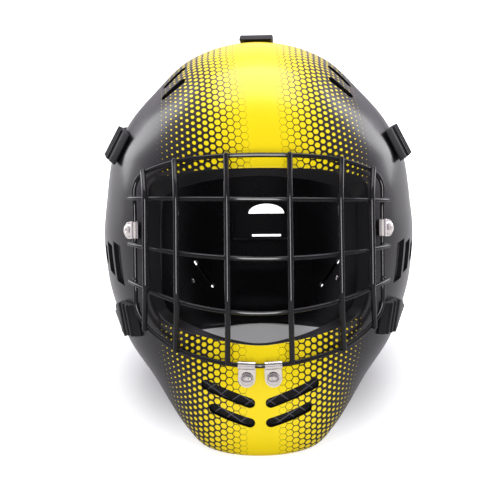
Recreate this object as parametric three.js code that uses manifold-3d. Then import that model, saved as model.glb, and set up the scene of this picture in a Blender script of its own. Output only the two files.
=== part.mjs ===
// A floorball goalie mask: a moulded shell with an eye port, a welded wire cage held by four
// clips, a back plate on five elastic straps, and the pads inside.
//
// Millimetres, +Z up. Every piece is laid out as the mask is worn: the face looks along -Y,
// +X is to the right in a front view, and the eyes are at about z = 40. The whole is then
// tipped back until it rests on its chin and on the lower edge of the back plate.
import * as THREE from "three";
import { mergeVertices } from "three/addons/utils/BufferGeometryUtils.js";
import Module from "manifold-3d";

// ---------- driving dimensions ----------

const WALL = 3.2; // shell and back plate
const GAP = 0.3; // between pieces that touch
const COLUMNS = 60; // facets round the eye port
const ROWS = 9; // facets from the eye port to the rear edge
const CENTRE = new THREE.Vector3(0, -15, 0); // the point that the shell's rows fan out from

// The outer form as horizontal sections. Each lies ahead of and behind its widest line, at
// y = middle. Power 2 is an ellipse and more is squarer; taper narrows it towards the face.
const SECTIONS = [
  { height: 158.7, middle: 0, halfWidth: 0, front: 0, back: 0, power: 2, taper: 0 },
  { height: 152, middle: 0, halfWidth: 37, front: 38, back: 45, power: 2, taper: 0 },
  { height: 143, middle: 0, halfWidth: 55, front: 57, back: 68, power: 2, taper: 0 },
  { height: 124, middle: 0, halfWidth: 75, front: 79, back: 98, power: 2, taper: 0 },
  { height: 97, middle: 0, halfWidth: 98, front: 95, back: 118, power: 2.1, taper: 0.04 },
  { height: 69, middle: 0, halfWidth: 111.5, front: 103, back: 127, power: 2.3, taper: 0.12 },
  { height: 41, middle: 0, halfWidth: 115.2, front: 107, back: 130, power: 2.5, taper: 0.18 },
  { height: 14, middle: 0, halfWidth: 117.5, front: 109, back: 130, power: 2.5, taper: 0.2 },
  { height: -18, middle: 0, halfWidth: 114.6, front: 109, back: 127, power: 2.5, taper: 0.2 },
  { height: -46, middle: -2, halfWidth: 107, front: 106, back: 121, power: 2.3, taper: 0.14 },
  { height: -64, middle: -10, halfWidth: 99.7, front: 98, back: 122, power: 2.1, taper: 0.08 },
  { height: -93, middle: -38, halfWidth: 78, front: 75, back: 90, power: 2, taper: 0 },
  { height: -129, middle: -62, halfWidth: 53, front: 40, back: 40, power: 2.2, taper: 0 },
  { height: -140, middle: -70, halfWidth: 41.5, front: 24, back: 24, power: 2.3, taper: 0 },
  { height: -148.5, middle: -78, halfWidth: 0, front: 0, back: 0, power: 2.3, taper: 0 },
];

// The eye port, from its top centre to its bottom centre, as seen from the front. The lip
// turns in from the edge and ends lipDepth further back than the form.
const EYE_PORT = [
  { edgeX: 0, edgeZ: 61, lipX: 0, lipZ: 56, lipDepth: 12 },
  { edgeX: 36, edgeZ: 60.5, lipX: 34, lipZ: 53, lipDepth: 12 },
  { edgeX: 58, edgeZ: 58, lipX: 55, lipZ: 48, lipDepth: 13 },
  { edgeX: 73, edgeZ: 54, lipX: 66.5, lipZ: 42.5, lipDepth: 14 },
  { edgeX: 79, edgeZ: 46, lipX: 71, lipZ: 35, lipDepth: 15 },
  { edgeX: 80.2, edgeZ: 2, lipX: 71.8, lipZ: 2, lipDepth: 15 },
  { edgeX: 79.4, edgeZ: -30, lipX: 71, lipZ: -27, lipDepth: 15 },
  { edgeX: 76, edgeZ: -42, lipX: 68, lipZ: -38, lipDepth: 14 },
  { edgeX: 68, edgeZ: -49.5, lipX: 60, lipZ: -46, lipDepth: 13 },
  { edgeX: 52, edgeZ: -55.7, lipX: 47, lipZ: -52.6, lipDepth: 12 },
  { edgeX: 24, edgeZ: -61.9, lipX: 24, lipZ: -60.5, lipDepth: 11 },
  { edgeX: 0, edgeZ: -64.5, lipX: 0, lipZ: -64.3, lipDepth: 10 },
];

// The shell's rear edge: its y by the angle round the front view, from the crown to the chin.
const REAR_EDGE = [
  { angle: 0, y: 74 },
  { angle: 30, y: 72 },
  { angle: 52, y: 64 },
  { angle: 75, y: 56 },
  { angle: 98, y: 48 },
  { angle: 114, y: 28 },
  { angle: 127, y: -2 },
  { angle: 140, y: -34 },
  { angle: 158, y: -61 },
  { angle: 180, y: -79 },
];

// Slots with round ends: the middles of their ends in a front view.
const SLOTS = [
  { name: "forehead upper", from: [67.5, 125], to: [56, 136], width: 7.5 },
  { name: "forehead lower", from: [68, 116], to: [56, 126], width: 7.5 },
  { name: "chin upper", from: [7.8, -104.5], to: [38.8, -91.8], width: 7.6 },
  { name: "chin lower", from: [7.8, -119.8], to: [33.5, -109.6], width: 7.6 },
];
const SIDE_SLOTS = [
  { middle: -23, top: 8, bottom: -9 },
  { middle: -37, top: 9, bottom: -17 },
  { middle: -50.5, top: 9, bottom: -24 },
];
const SIDE_SLOT = { width: 10.5, slant: 3.5 };

const RING_WIRE = 1.7; // radii of the cage's wires
const CROSS_WIRE = 1.6;
const UPRIGHT_WIRE = 2.0;
const WELD = 0.85; // share of two radii that lies between two welded wires
const WIRE_SIDES = 6;
const WIRE_STEPS = { ring: 40, bow: 22, upright: 14 };
const RING_LIFT = 4.6; // from the shell to the middle of the ring wire
const RING = [
  { x: 0, z: 70.5 },
  { x: 30, z: 69.8 },
  { x: 57, z: 67 },
  { x: 78, z: 61 },
  { x: 86.5, z: 56 },
  { x: 90, z: 49 },
  { x: 90, z: 30 },
  { x: 90, z: 3 },
  { x: 90, z: -25 },
  { x: 89.5, z: -40 },
  { x: 82.5, z: -52.5 },
  { x: 71, z: -62 },
  { x: 59, z: -68.7 },
  { x: 42, z: -73.6 },
  { x: 22, z: -77.7 },
  { x: 0, z: -79.2 },
];
const UPRIGHTS = [22.2, 58.5, 81.4];
// The uprights touch every bow. The kink is where they turn back to the chin: no wire there.
// The wires are bent by hand, and skew is how much a bow's right end is higher.
const BOWS = [
  { name: "brow", wire: true, endZ: 39, middleZ: 39, front: -124, skew: -1.6 },
  { name: "nose", wire: true, endZ: 6, middleZ: -2.7, front: -130.6, skew: -1.6 },
  { name: "kink", wire: false, endZ: -18, middleZ: -30.5, front: -135, skew: -0.6 },
  { name: "mouth", wire: true, endZ: -19.8, middleZ: -41, front: -131, skew: -0.3 },
];
const BOW = { reach: 94, span: 100, power: 2.1 };

const CLIP = { width: 12.4, sheet: 1.2, screwAt: 9.6, rolledTo: -1.9 * Math.PI, weld: 0.2 };
const SCREW = { shank: 2.1, head: 4.9, rim: 0.5, dome: 2.1, length: 5.4 };
const SCREW_CROSS = { width: 1, depth: 1 };
const CHIN_CLIP_X = 9.3;
const SIDE_CLIP_Z = 17.5;

const PLATE = { halfWidth: 88, bottom: -75, top: 88, arch: 11, squareAbove: 3.2, squareBelow: 5 };
const ASIDE = 6.5; // the plate hangs on elastic, and sits this far to the right
const HALF_MOON = { halfWidth: 14.8, bottom: 27, height: 8 };
const THIN_SLOT = { halfWidth: 12, height: 1.8, z: 8.8 };
const STRAP_SLOT = { from: [46, -33], to: [60, -13], width: 3 };

const PAD = { thickness: 9, gap: 0.8 };
const SIDE_PAD = { middleY: -15, middleZ: -8, halfLength: 42, halfHeight: 44 };
const CHIN_PAD = { middleZ: -107, halfWidth: 56, halfHeight: 25, taper: 0.18 };

const STRAP = { width: 21, thickness: 1.8, overlap: 38, steps: 22 };
const STRAP_BEND = { from: 12, to: 32 }; // where it comes down on to the form, from the buckle
const ARC = 1.12; // about how much longer than its chord a strap's run is
const BUCKLE = { width: 24.6, length: 20, height: 5.8, base: 1.4, end: 4, toe: 1 };
const BUCKLE_RIDGES = { count: 3, height: 1.6, rise: 0.15, top: 0.55, foot: 0.7 };
const RIVET = { radius: 4, dome: 1.6, shank: 1.8, tail: 1.6, shoulder: 0.75 };
// Each strap runs from a buckle on the shell to a rivet on the back plate: where both are
// in a front view and a rear view, where the buckle lies along the shell, how far its wedge
// reaches towards the face, and by how many degrees it is turned up out of the strap's line.
const STRAPS = [
  { name: "top", sides: [0], wedge: 7, turn: 0, buckle: [0, 8, 158], rivet: [0, 118, 74] },
  {
    name: "upper",
    sides: [-1, 1],
    wedge: 5,
    turn: 0,
    buckle: [99.5, -31, 77],
    rivet: [62, 100, 56],
  },
  {
    name: "lower",
    sides: [-1, 1],
    wedge: 0,
    turn: 20,
    buckle: [91.5, -54, -47],
    rivet: [61, 103, -28],
  },
];

// The two lowest points, on which the mask rests.
const CHIN_REST = { y: -86, z: -146.6 };
const PLATE_REST = { y: 112, z: -63.2 };
const TILT = Math.atan2(PLATE_REST.z - CHIN_REST.z, PLATE_REST.y - CHIN_REST.y);

// ---------- geometry helpers ----------

const wasm = await Module();
wasm.setup();

const vector = (x, y, z) => new THREE.Vector3(x, y, z);
const mirrored = (point, side) => vector(point.x * side, point.y, point.z);

// A closed geometry as a solid for joining and cutting.
function solid(geometry) {
  const bare = geometry.index ? geometry.toNonIndexed() : geometry.clone();
  bare.deleteAttribute("normal");
  bare.deleteAttribute("uv");
  const merged = mergeVertices(bare, 1e-4);
  return new wasm.Manifold(
    new wasm.Mesh({
      numProp: 3,
      vertProperties: merged.attributes.position.array,
      triVerts: new Uint32Array(merged.index.array),
    }),
  );
}

function geometryOf(cut) {
  const { vertProperties, triVerts } = cut.getMesh();
  const geometry = new THREE.BufferGeometry();
  geometry.setAttribute("position", new THREE.BufferAttribute(vertProperties, 3));
  geometry.setIndex(new THREE.BufferAttribute(triVerts, 1));
  return geometry;
}

const joined = (geometries) =>
  geometryOf(geometries.map(solid).reduce((all, one) => all.add(one)));

const cutBy = (geometry, cutters) =>
  geometryOf(cutters.map(solid).reduce((all, one) => all.subtract(one), solid(geometry)));

// A closed surface through loops of points: the last loop joins the first, or both are capped.
function loft(loops, endless = false) {
  const count = loops[0].length;
  const points = loops.flat();
  const index = [];
  const quad = (a, b, c, d) => index.push(a, b, c, a, c, d);
  const last = endless ? loops.length : loops.length - 1;
  for (let i = 0; i < last; i++) {
    const here = i * count;
    const next = ((i + 1) % loops.length) * count;
    for (let j = 0; j < count; j++) {
      const k = (j + 1) % count;
      quad(here + j, here + k, next + k, next + j);
    }
  }
  const cap = (loop, start, turn) => {
    const middle = loop.reduce((sum, p) => sum.add(p), vector(0, 0, 0));
    points.push(middle.divideScalar(count));
    for (let j = 0; j < count; j++) {
      const ends = [start + j, start + ((j + 1) % count)];
      index.push(points.length - 1, ...(turn ? ends.reverse() : ends));
    }
  };
  if (!endless) {
    cap(loops[0], 0, true);
    cap(loops.at(-1), (loops.length - 1) * count, false);
  }
  return facingOut(new THREE.BufferGeometry().setFromPoints(points), index);
}

// A profile of radii and heights turned round the Z axis.
const turned = (profile, sides) =>
  new THREE.LatheGeometry(
    profile.map(([radius, height]) => new THREE.Vector2(radius, height)),
    sides,
  ).rotateX(Math.PI / 2);

// Sets the index, turned round where it would face in.
function facingOut(geometry, index) {
  const at = (i) => vector().fromBufferAttribute(geometry.attributes.position, i);
  let volume = 0;
  for (let i = 0; i < index.length; i += 3)
    volume += at(index[i]).dot(at(index[i + 1]).cross(at(index[i + 2])));
  return geometry.setIndex(volume < 0 ? index.reverse() : index);
}

// A smooth curve through the points of a table, with no overshoot between them. Level ends
// let it meet its own mirror image smoothly.
function curveThrough(inputs, outputs, levelEnds = false) {
  const steps = inputs.slice(1).map((x, i) => x - inputs[i]);
  const slopes = outputs.slice(1).map((y, i) => (y - outputs[i]) / steps[i]);
  const tangents = inputs.map((x, i) => {
    const [before, after] = [slopes[i - 1], slopes[i]];
    if (before === undefined || after === undefined)
      return levelEnds ? 0 : (before ?? after);
    return before * after > 0 ? (2 * before * after) / (before + after) : 0;
  });
  return (x) => {
    const found = inputs.findIndex((start, i) => i > 0 && x <= start) - 1;
    const i = found < 0 ? (x <= inputs[0] ? 0 : steps.length - 1) : found;
    const t = THREE.MathUtils.clamp((x - inputs[i]) / steps[i], 0, 1);
    const [a, b] = [t * t * (3 - 2 * t), t * (1 - t)];
    return (
      outputs[i] * (1 - a) + outputs[i + 1] * a +
      steps[i] * b * ((1 - t) * tangents[i] - t * tangents[i + 1])
    );
  };
}

// ---------- the outer form ----------

const heights = SECTIONS.map((s) => -s.height);
const sectionCurve = (key) => curveThrough(heights, SECTIONS.map((s) => s[key]));
// Half-widths and depths are interpolated as squares, which keeps the crown and chin round.
const squareCurve = (key) => curveThrough(heights, SECTIONS.map((s) => s[key] ** 2));
const middleAt = sectionCurve("middle");
const widthSquared = squareCurve("halfWidth");
const frontSquared = squareCurve("front");
const backSquared = squareCurve("back");
const powerAt = sectionCurve("power");
const taperAt = sectionCurve("taper");

function isInside(point) {
  const z = -point.z;
  if (z <= heights[0] || z >= heights.at(-1)) return false;
  const y = point.y - middleAt(z);
  const behind = y > 0;
  const depth = y ** 2 / (behind ? backSquared(z) : frontSquared(z));
  const narrowed = behind ? 1 : (1 - taperAt(z) * depth) ** 2;
  const width = point.x ** 2 / (widthSquared(z) * Math.max(narrowed, 0.01));
  const half = (behind ? 2 : powerAt(z)) / 2;
  return width ** half + depth ** half < 1;
}

// Where a ray leaves the form.
function reach(from, direction) {
  let near = 0;
  let far = 400;
  const at = (distance) => from.clone().addScaledVector(direction, distance);
  for (let i = 0; i < 40; i++) {
    const half = (near + far) / 2;
    if (isInside(at(half))) near = half;
    else far = half;
  }
  return at(near);
}

const formPoint = (direction) => reach(CENTRE, direction);
const directionTo = (point) => point.clone().sub(CENTRE).normalize();

// The form's outward normal at a point of it.
function normalAt(point) {
  const ray = directionTo(point);
  const across = vector(0.3, 0.2, 1).cross(ray).normalize();
  const along = ray.clone().cross(across);
  const nudge = 0.01;
  const difference = (side) =>
    formPoint(ray.clone().addScaledVector(side, nudge).normalize())
      .sub(formPoint(ray.clone().addScaledVector(side, -nudge).normalize()));
  const normal = difference(across).cross(difference(along)).normalize();
  return normal.dot(ray) < 0 ? normal.negate() : normal;
}

const lifted = (point, distance) => point.clone().addScaledVector(normalAt(point), distance);
// The form's points that a front, rear or side view shows at a place.
const frontPoint = (x, z) => reach(vector(x, middleAt(-z), z), vector(0, -1, 0));
const backPoint = (x, z) => reach(vector(x, middleAt(-z), z), vector(0, 1, 0));
const sidePoint = (y, z, side) => reach(vector(0, y, z), vector(side, 0, 0));
const nearest = ([x, y, z]) => formPoint(directionTo(vector(x, y, z)));

// The direction a share of the way from one direction to another, on a great circle.
function between(start, end, share) {
  const whole = start.angleTo(end);
  return start
    .clone()
    .multiplyScalar(Math.sin((1 - share) * whole))
    .addScaledVector(end, Math.sin(share * whole))
    .normalize();
}

// ---------- shell ----------

const portAngles = EYE_PORT.map((row) => Math.atan2(row.edgeX, row.edgeZ));
const portCurve = (key, levelEnds) =>
  curveThrough(portAngles, EYE_PORT.map((row) => row[key]), levelEnds);
const port = {
  edgeX: portCurve("edgeX", false),
  edgeZ: portCurve("edgeZ", true),
  lipX: portCurve("lipX", false),
  lipZ: portCurve("lipZ", true),
  lipDepth: portCurve("lipDepth", true),
};
const rearY = curveThrough(
  REAR_EDGE.map((row) => THREE.MathUtils.degToRad(row.angle)),
  REAR_EDGE.map((row) => row.y),
  true,
);

// One strip of the shell's section, outside from the lip to the rear edge, then back inside.
function shellStrip(turn) {
  const side = turn > Math.PI ? -1 : 1;
  const angle = side > 0 ? turn : 2 * Math.PI - turn;
  const edge = frontPoint(port.edgeX(angle), port.edgeZ(angle));
  const lip = frontPoint(port.lipX(angle), port.lipZ(angle));
  lip.y += port.lipDepth(angle);
  const y = rearY(angle);
  const rear = reach(vector(0, y, 0), vector(Math.sin(angle), 0, Math.cos(angle)));
  const [start, end] = [directionTo(edge), directionTo(rear)];
  const outside = [edge];
  for (let row = 1; row <= ROWS; row++)
    outside.push(formPoint(between(start, end, row / ROWS)));
  const inside = outside.map((point) => lifted(point, -WALL));
  // The lip's back face keeps the wall's thickness, with a mitred corner where it turns.
  const out = normalAt(edge);
  const away = outside[1].clone().sub(edge).projectOnPlane(out).normalize();
  const turnIn = lip.clone().sub(edge).normalize();
  const behind = away.clone().addScaledVector(turnIn, -away.dot(turnIn)).normalize();
  const mitre = behind.clone().sub(out).divideScalar(1 - behind.dot(out));
  inside[0] = edge.clone().addScaledVector(mitre, WALL);
  const lipBack = lip.clone().addScaledVector(behind, WALL);
  const strip = [lip, ...outside, ...inside.reverse(), lipBack];
  return strip.map((point) => mirrored(point, side));
}

// A slot with round ends that goes straight in at its middle, between two points of the form.
function slotCutter(start, end, width) {
  const middle = nearest(start.clone().add(end).divideScalar(2).toArray());
  const out = normalAt(middle);
  const along = end.clone().sub(start).projectOnPlane(out);
  const half = along.length() / 2;
  const outline = new THREE.Shape();
  outline.absarc(half, 0, width / 2, -Math.PI / 2, Math.PI / 2);
  outline.absarc(-half, 0, width / 2, Math.PI / 2, (3 * Math.PI) / 2);
  const depth = 24;
  const slot = new THREE.ExtrudeGeometry(outline, {
    depth,
    bevelEnabled: false,
    curveSegments: 5,
  });
  slot.translate(0, 0, -depth / 2);
  along.normalize();
  const across = out.clone().cross(along);
  return slot.applyMatrix4(new THREE.Matrix4().makeBasis(along, across, out).setPosition(middle));
}

// A side slot: an upright parallelogram whose ends slant down to the front.
function sideSlotCutter({ middle, top, bottom }, side) {
  const half = SIDE_SLOT.width / 2;
  const outline = new THREE.Shape([
    new THREE.Vector2(middle - half, top - SIDE_SLOT.slant),
    new THREE.Vector2(middle + half, top),
    new THREE.Vector2(middle + half, bottom + SIDE_SLOT.slant),
    new THREE.Vector2(middle - half, bottom),
  ]);
  const depth = 40;
  const slot = new THREE.ExtrudeGeometry(outline, { depth, bevelEnabled: false });
  slot.applyMatrix4(
    new THREE.Matrix4().makeBasis(vector(0, 1, 0), vector(0, 0, 1), vector(1, 0, 0)),
  );
  return slot.translate(side > 0 ? 90 : -90 - depth, 0, 0);
}

// Everything below the plane that the mask rests on.
function belowRest() {
  const side = 600;
  return new THREE.BoxGeometry(side, side, side)
    .translate(0, 0, -side / 2)
    .rotateX(TILT)
    .translate(0, CHIN_REST.y, CHIN_REST.z);
}

function shell(clips) {
  const strips = [];
  for (let column = 0; column < COLUMNS; column++)
    strips.push(shellStrip((column / COLUMNS) * 2 * Math.PI));
  const cutters = [belowRest()];
  for (const side of [-1, 1]) {
    for (const slot of SLOTS) {
      const ends = [slot.from, slot.to].map(([x, z]) => mirrored(frontPoint(x, z), side));
      cutters.push(slotCutter(...ends, slot.width));
    }
    for (const slot of SIDE_SLOTS) cutters.push(sideSlotCutter(slot, side));
  }
  for (const frame of clips) cutters.push(bore(frame, SCREW.shank + GAP));
  return cutBy(loft(strips, true), cutters);
}

// ---------- cage ----------

// A wire of round section through the points.
function wire(points, radius, steps) {
  const section = new THREE.Shape();
  section.absarc(0, 0, radius, 0, 2 * Math.PI);
  return new THREE.ExtrudeGeometry(section, {
    steps,
    curveSegments: WIRE_SIDES / 2,
    extrudePath: new THREE.CatmullRomCurve3(points, false, "centripetal"),
  });
}

const ringCurve = (() => {
  const half = RING.map(({ x, z }) => {
    const point = frontPoint(x, z);
    point.y += RING_LIFT / normalAt(point).y;
    return point;
  });
  return new THREE.CatmullRomCurve3(half, false, "centripetal");
})();

// The ring's place where one coordinate has a value, searched from one end of its half:
// the wire's middle and its direction there.
function ringAt(axis, value, fromTop = true) {
  const count = 400;
  const points = ringCurve.getPoints(count);
  if (!fromTop) points.reverse();
  const passed = (p) => (axis === "x" ? p.x >= value : p.z <= value);
  const found = Math.max(points.findIndex(passed), 1);
  const direction = points[found + 1].clone().sub(points[found - 1]).normalize();
  return { point: points[found], direction };
}

// A bow's share of the way forward at a distance from the middle plane.
const bowShare = (x) => (1 - (Math.abs(x) / BOW.span) ** BOW.power) ** (1 / BOW.power);

function bowPoint(bow, x) {
  const ring = ringAt("z", bow.endZ);
  const end = lifted(ring.point, (RING_WIRE + CROSS_WIRE) * WELD);
  const base = (end.y - bow.front * bowShare(BOW.reach)) / (1 - bowShare(BOW.reach));
  const share = x / BOW.reach;
  const z = bow.middleZ + (bow.endZ - bow.middleZ) * share ** 2 + bow.skew * share;
  return vector(x, base + (bow.front - base) * bowShare(x), z);
}

function crossWire(bow) {
  const stations = 12;
  const points = [];
  for (let i = -stations; i <= stations; i++) {
    const x = BOW.reach * Math.sin(((i / stations) * Math.PI) / 2);
    points.push(bowPoint(bow, x));
  }
  return wire(points, CROSS_WIRE, WIRE_STEPS.bow);
}

function upright(x) {
  const forward = (point) => {
    point.y -= (CROSS_WIRE + UPRIGHT_WIRE) * WELD;
    return point;
  };
  const tie = (fromTop) => {
    const { point } = ringAt("x", Math.abs(x), fromTop);
    return mirrored(lifted(point, (RING_WIRE + UPRIGHT_WIRE) * WELD), Math.sign(x));
  };
  const points = [tie(true), ...BOWS.map((bow) => forward(bowPoint(bow, x))), tie(false)];
  return wire(points, UPRIGHT_WIRE, WIRE_STEPS.upright);
}

function cage() {
  const half = ringCurve.getPoints(WIRE_STEPS.ring);
  // Each half runs a little past the middle plane, so that the two join.
  const past = (point) => point.clone().setX(-1);
  const points = [past(half[0]), ...half, past(half.at(-1))];
  const parts = [-1, 1].map((side) =>
    wire(points.map((point) => mirrored(point, side)), RING_WIRE, WIRE_STEPS.ring),
  );
  for (const bow of BOWS) if (bow.wire) parts.push(crossWire(bow));
  for (const x of UPRIGHTS) parts.push(upright(x), upright(-x));
  return joined(parts);
}

// ---------- clips and screws ----------

// A clip's frame: its origin in the middle of the ring wire, X along the wire, Y from the
// wire to the screw, and Z out of the shell.
function clipFrame({ point, direction }, side) {
  const ring = mirrored(point, side);
  const wireDirection = mirrored(direction, side);
  const foot = nearest(lifted(ring, -RING_LIFT).toArray());
  const toScrew = normalAt(foot).cross(wireDirection);
  // The screw is on the side away from the eye port.
  if (toScrew.dot(foot.clone().setY(0)) < 0) toScrew.negate();
  const seat = nearest(foot.addScaledVector(toScrew, CLIP.screwAt).toArray());
  const out = normalAt(seat);
  const across = toScrew.projectOnPlane(out).normalize();
  const along = across.clone().cross(out);
  return new THREE.Matrix4().makeBasis(along, across, out).setPosition(ring);
}

const sleeveRadius = RING_WIRE + GAP;
const tabTop = -sleeveRadius;
const tabBottom = tabTop - CLIP.sheet;

// A strip rolled three quarters round the ring wire, with a tab that has a round end.
function clip() {
  const rolled = new THREE.Shape();
  const outer = sleeveRadius + CLIP.sheet;
  rolled.absarc(0, 0, outer, -Math.PI / 2, CLIP.rolledTo, true);
  rolled.absarc(0, 0, sleeveRadius, CLIP.rolledTo, -Math.PI / 2, false);
  const sleeve = new THREE.ExtrudeGeometry(rolled, {
    depth: CLIP.width,
    bevelEnabled: false,
    curveSegments: 7,
  });
  // Extruded along the wire, with the roll on the side away from the screw.
  sleeve.translate(0, 0, -CLIP.width / 2).rotateY(Math.PI / 2).rotateX(Math.PI / 2);
  const half = CLIP.width / 2;
  const outline = new THREE.Shape();
  outline.moveTo(-half, -CLIP.weld);
  outline.lineTo(half, -CLIP.weld);
  outline.lineTo(half, CLIP.screwAt);
  outline.absarc(0, CLIP.screwAt, half, 0, Math.PI);
  outline.closePath();
  const radius = SCREW.shank + GAP;
  outline.holes.push(new THREE.Path().absarc(0, CLIP.screwAt, radius, 0, 2 * Math.PI));
  const tab = new THREE.ExtrudeGeometry(outline, {
    depth: CLIP.sheet,
    bevelEnabled: false,
    curveSegments: 5,
  }).translate(0, 0, tabBottom);
  return joined([sleeve, tab]);
}

function bore(frame, radius) {
  const depth = 30;
  const hole = new THREE.CylinderGeometry(radius, radius, depth, 10).rotateX(Math.PI / 2);
  return hole.translate(0, CLIP.screwAt, 0).applyMatrix4(frame);
}

// A domed screw with a cross recess, its head on the tab and its shank through the shell.
function screw() {
  const seat = tabTop + GAP;
  const tip = seat - SCREW.length;
  const profile = [[0, tip], [SCREW.shank, tip], [SCREW.shank, seat], [SCREW.head, seat]];
  const steps = 3;
  for (let i = 0; i <= steps; i++) {
    const angle = (i / steps) * (Math.PI / 2);
    const radius = i < steps ? SCREW.head * Math.cos(angle) : 0;
    profile.push([radius, seat + SCREW.rim + SCREW.dome * Math.sin(angle)]);
  }
  const { width, depth } = SCREW_CROSS;
  const recess = [0, Math.PI / 2].map((turn) =>
    new THREE.BoxGeometry(SCREW.head, width, 2 * depth)
      .rotateZ(turn)
      .translate(0, 0, seat + SCREW.rim + SCREW.dome),
  );
  return cutBy(turned(profile, 14), recess).translate(0, CLIP.screwAt, 0);
}

// ---------- pads and back plate ----------

// A dished solid whose faces follow the form at two depths below it. spot(p, q) gives the
// form's point for p and q from -1 to 1, inside a round outline that is squarer for a larger
// power of its height.
function dish(spot, { outer, inner, rings = 3, columns = 24, squareness = () => 3 }) {
  const layer = (depth, order) =>
    order.map((ring) => {
      const share = ring / rings;
      const loop = [];
      for (let column = 0; column < columns; column++) {
        const angle = (column / columns) * 2 * Math.PI;
        const [c, s] = [Math.cos(angle), Math.sin(angle)];
        const power = squareness(s);
        const size = (Math.abs(c) ** power + Math.abs(s) ** power) ** (1 / power);
        loop.push(lifted(spot((share * c) / size, (share * s) / size), -depth));
      }
      return loop;
    });
  const smallest = 0.3;
  const order = Array.from({ length: rings }, (_, i) => i + smallest);
  order.push(rings);
  return loft([...layer(outer, order), ...layer(inner, order.reverse())]);
}

function backPlate() {
  const height = (PLATE.top - PLATE.bottom) / 2;
  const middle = (PLATE.top + PLATE.bottom) / 2;
  const spot = (p, q) => {
    const arch = q < 0 ? PLATE.arch * (1 - p * p) * q * q : 0;
    return backPoint(ASIDE + p * PLATE.halfWidth, middle + q * height + arch);
  };
  const plate = dish(spot, {
    outer: 0,
    inner: WALL,
    rings: 5,
    columns: 40,
    squareness: (q) => (q < 0 ? PLATE.squareBelow : PLATE.squareAbove),
  });
  const depth = 60;
  const behind = 150;
  const through = (shape) =>
    new THREE.ExtrudeGeometry(shape, { depth, bevelEnabled: false, curveSegments: 10 })
      .rotateX(Math.PI / 2)
      .translate(0, behind, 0);
  const moon = new THREE.Shape();
  moon.absellipse(ASIDE, HALF_MOON.bottom, HALF_MOON.halfWidth, HALF_MOON.height, 0, Math.PI);
  const thin = new THREE.BoxGeometry(2 * THIN_SLOT.halfWidth, depth, THIN_SLOT.height);
  thin.translate(ASIDE, behind - depth / 2, THIN_SLOT.z);
  const cutters = [through(moon), thin, belowRest()];
  for (const side of [-1, 1]) {
    const ends = [STRAP_SLOT.from, STRAP_SLOT.to];
    const points = ends.map(([x, z]) => backPoint(ASIDE + x * side, z));
    cutters.push(slotCutter(...points, STRAP_SLOT.width));
  }
  for (const strap of STRAPS)
    for (const side of strap.sides)
      cutters.push(rivetBore(strapRun(strap, side)));
  return cutBy(plate, cutters);
}

const padDepths = { outer: WALL + PAD.gap, inner: WALL + PAD.gap + PAD.thickness };

function sidePad(side) {
  const { middleY, middleZ, halfLength, halfHeight } = SIDE_PAD;
  const spot = (p, q) => sidePoint(middleY + p * halfLength, middleZ + q * halfHeight, side);
  return dish(spot, { ...padDepths, squareness: () => 3.5 });
}

// The chin pad narrows towards its lower edge.
function chinPad() {
  const { middleZ, halfWidth, halfHeight, taper } = CHIN_PAD;
  const width = (q) => halfWidth * (1 - taper * (1 - q));
  const spot = (p, q) => frontPoint(p * width(q), middleZ + q * halfHeight);
  return dish(spot, { ...padDepths, squareness: () => 3.8 });
}

// ---------- straps, buckles and rivets ----------

// A strap's run over the form: a frame anywhere between the buckle and the rivet, with X along
// the strap, Y across it and Z out of the form, and the frame of the buckle's mouth.
function strapRun({ buckle, rivet, turn }, side) {
  const toward = ([x, y, z], aside) => directionTo(nearest([aside + x * side, y, z]));
  const [start, end] = [toward(buckle, 0), toward(rivet, ASIDE)];
  const at = (share) => {
    const point = formPoint(between(start, end, share));
    const ahead = formPoint(between(start, end, share + 0.01));
    const out = normalAt(point);
    const along = ahead.sub(point).projectOnPlane(out).normalize();
    const across = out.clone().cross(along);
    return { point, along, across, out };
  };
  const length = nearest(buckle).distanceTo(nearest(rivet)) * ARC;
  const mouth = at(0);
  for (const line of [mouth.along, mouth.across])
    line.applyAxisAngle(mouth.out, THREE.MathUtils.degToRad(turn * side));
  return { at, mouth, length };
}

const frameMatrix = ({ point, along, across, out }) =>
  new THREE.Matrix4().makeBasis(along, across, out).setPosition(point);

const strapLift = BUCKLE.base + 2 * GAP;

// A strap lies flat in its buckle, then bends down on to the form and follows it.
function strap(run) {
  const start = -BUCKLE.length / 8;
  const end = run.length + STRAP.overlap / 2;
  const half = STRAP.width / 2;
  const flat = run.mouth;
  const loops = [];
  for (let i = 0; i <= STRAP.steps; i++) {
    const distance = start + ((end - start) * i) / STRAP.steps;
    const bent = run.at(distance / run.length);
    const down = THREE.MathUtils.smoothstep(distance, STRAP_BEND.from, STRAP_BEND.to);
    const straight = flat.point.clone().addScaledVector(flat.along, distance);
    straight.addScaledVector(flat.out, strapLift);
    const point = straight.lerp(bent.point.addScaledVector(bent.out, 2 * GAP), down);
    const out = flat.out.clone().lerp(bent.out, down).normalize();
    const across = flat.across.clone().lerp(bent.across, down).normalize();
    const corner = (width, height) =>
      point.clone().addScaledVector(across, width).addScaledVector(out, height);
    const high = STRAP.thickness;
    loops.push([corner(-half, 0), corner(half, 0), corner(half, high), corner(-half, high)]);
  }
  return cutBy(loft(loops), [rivetBore(run)]);
}

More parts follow.
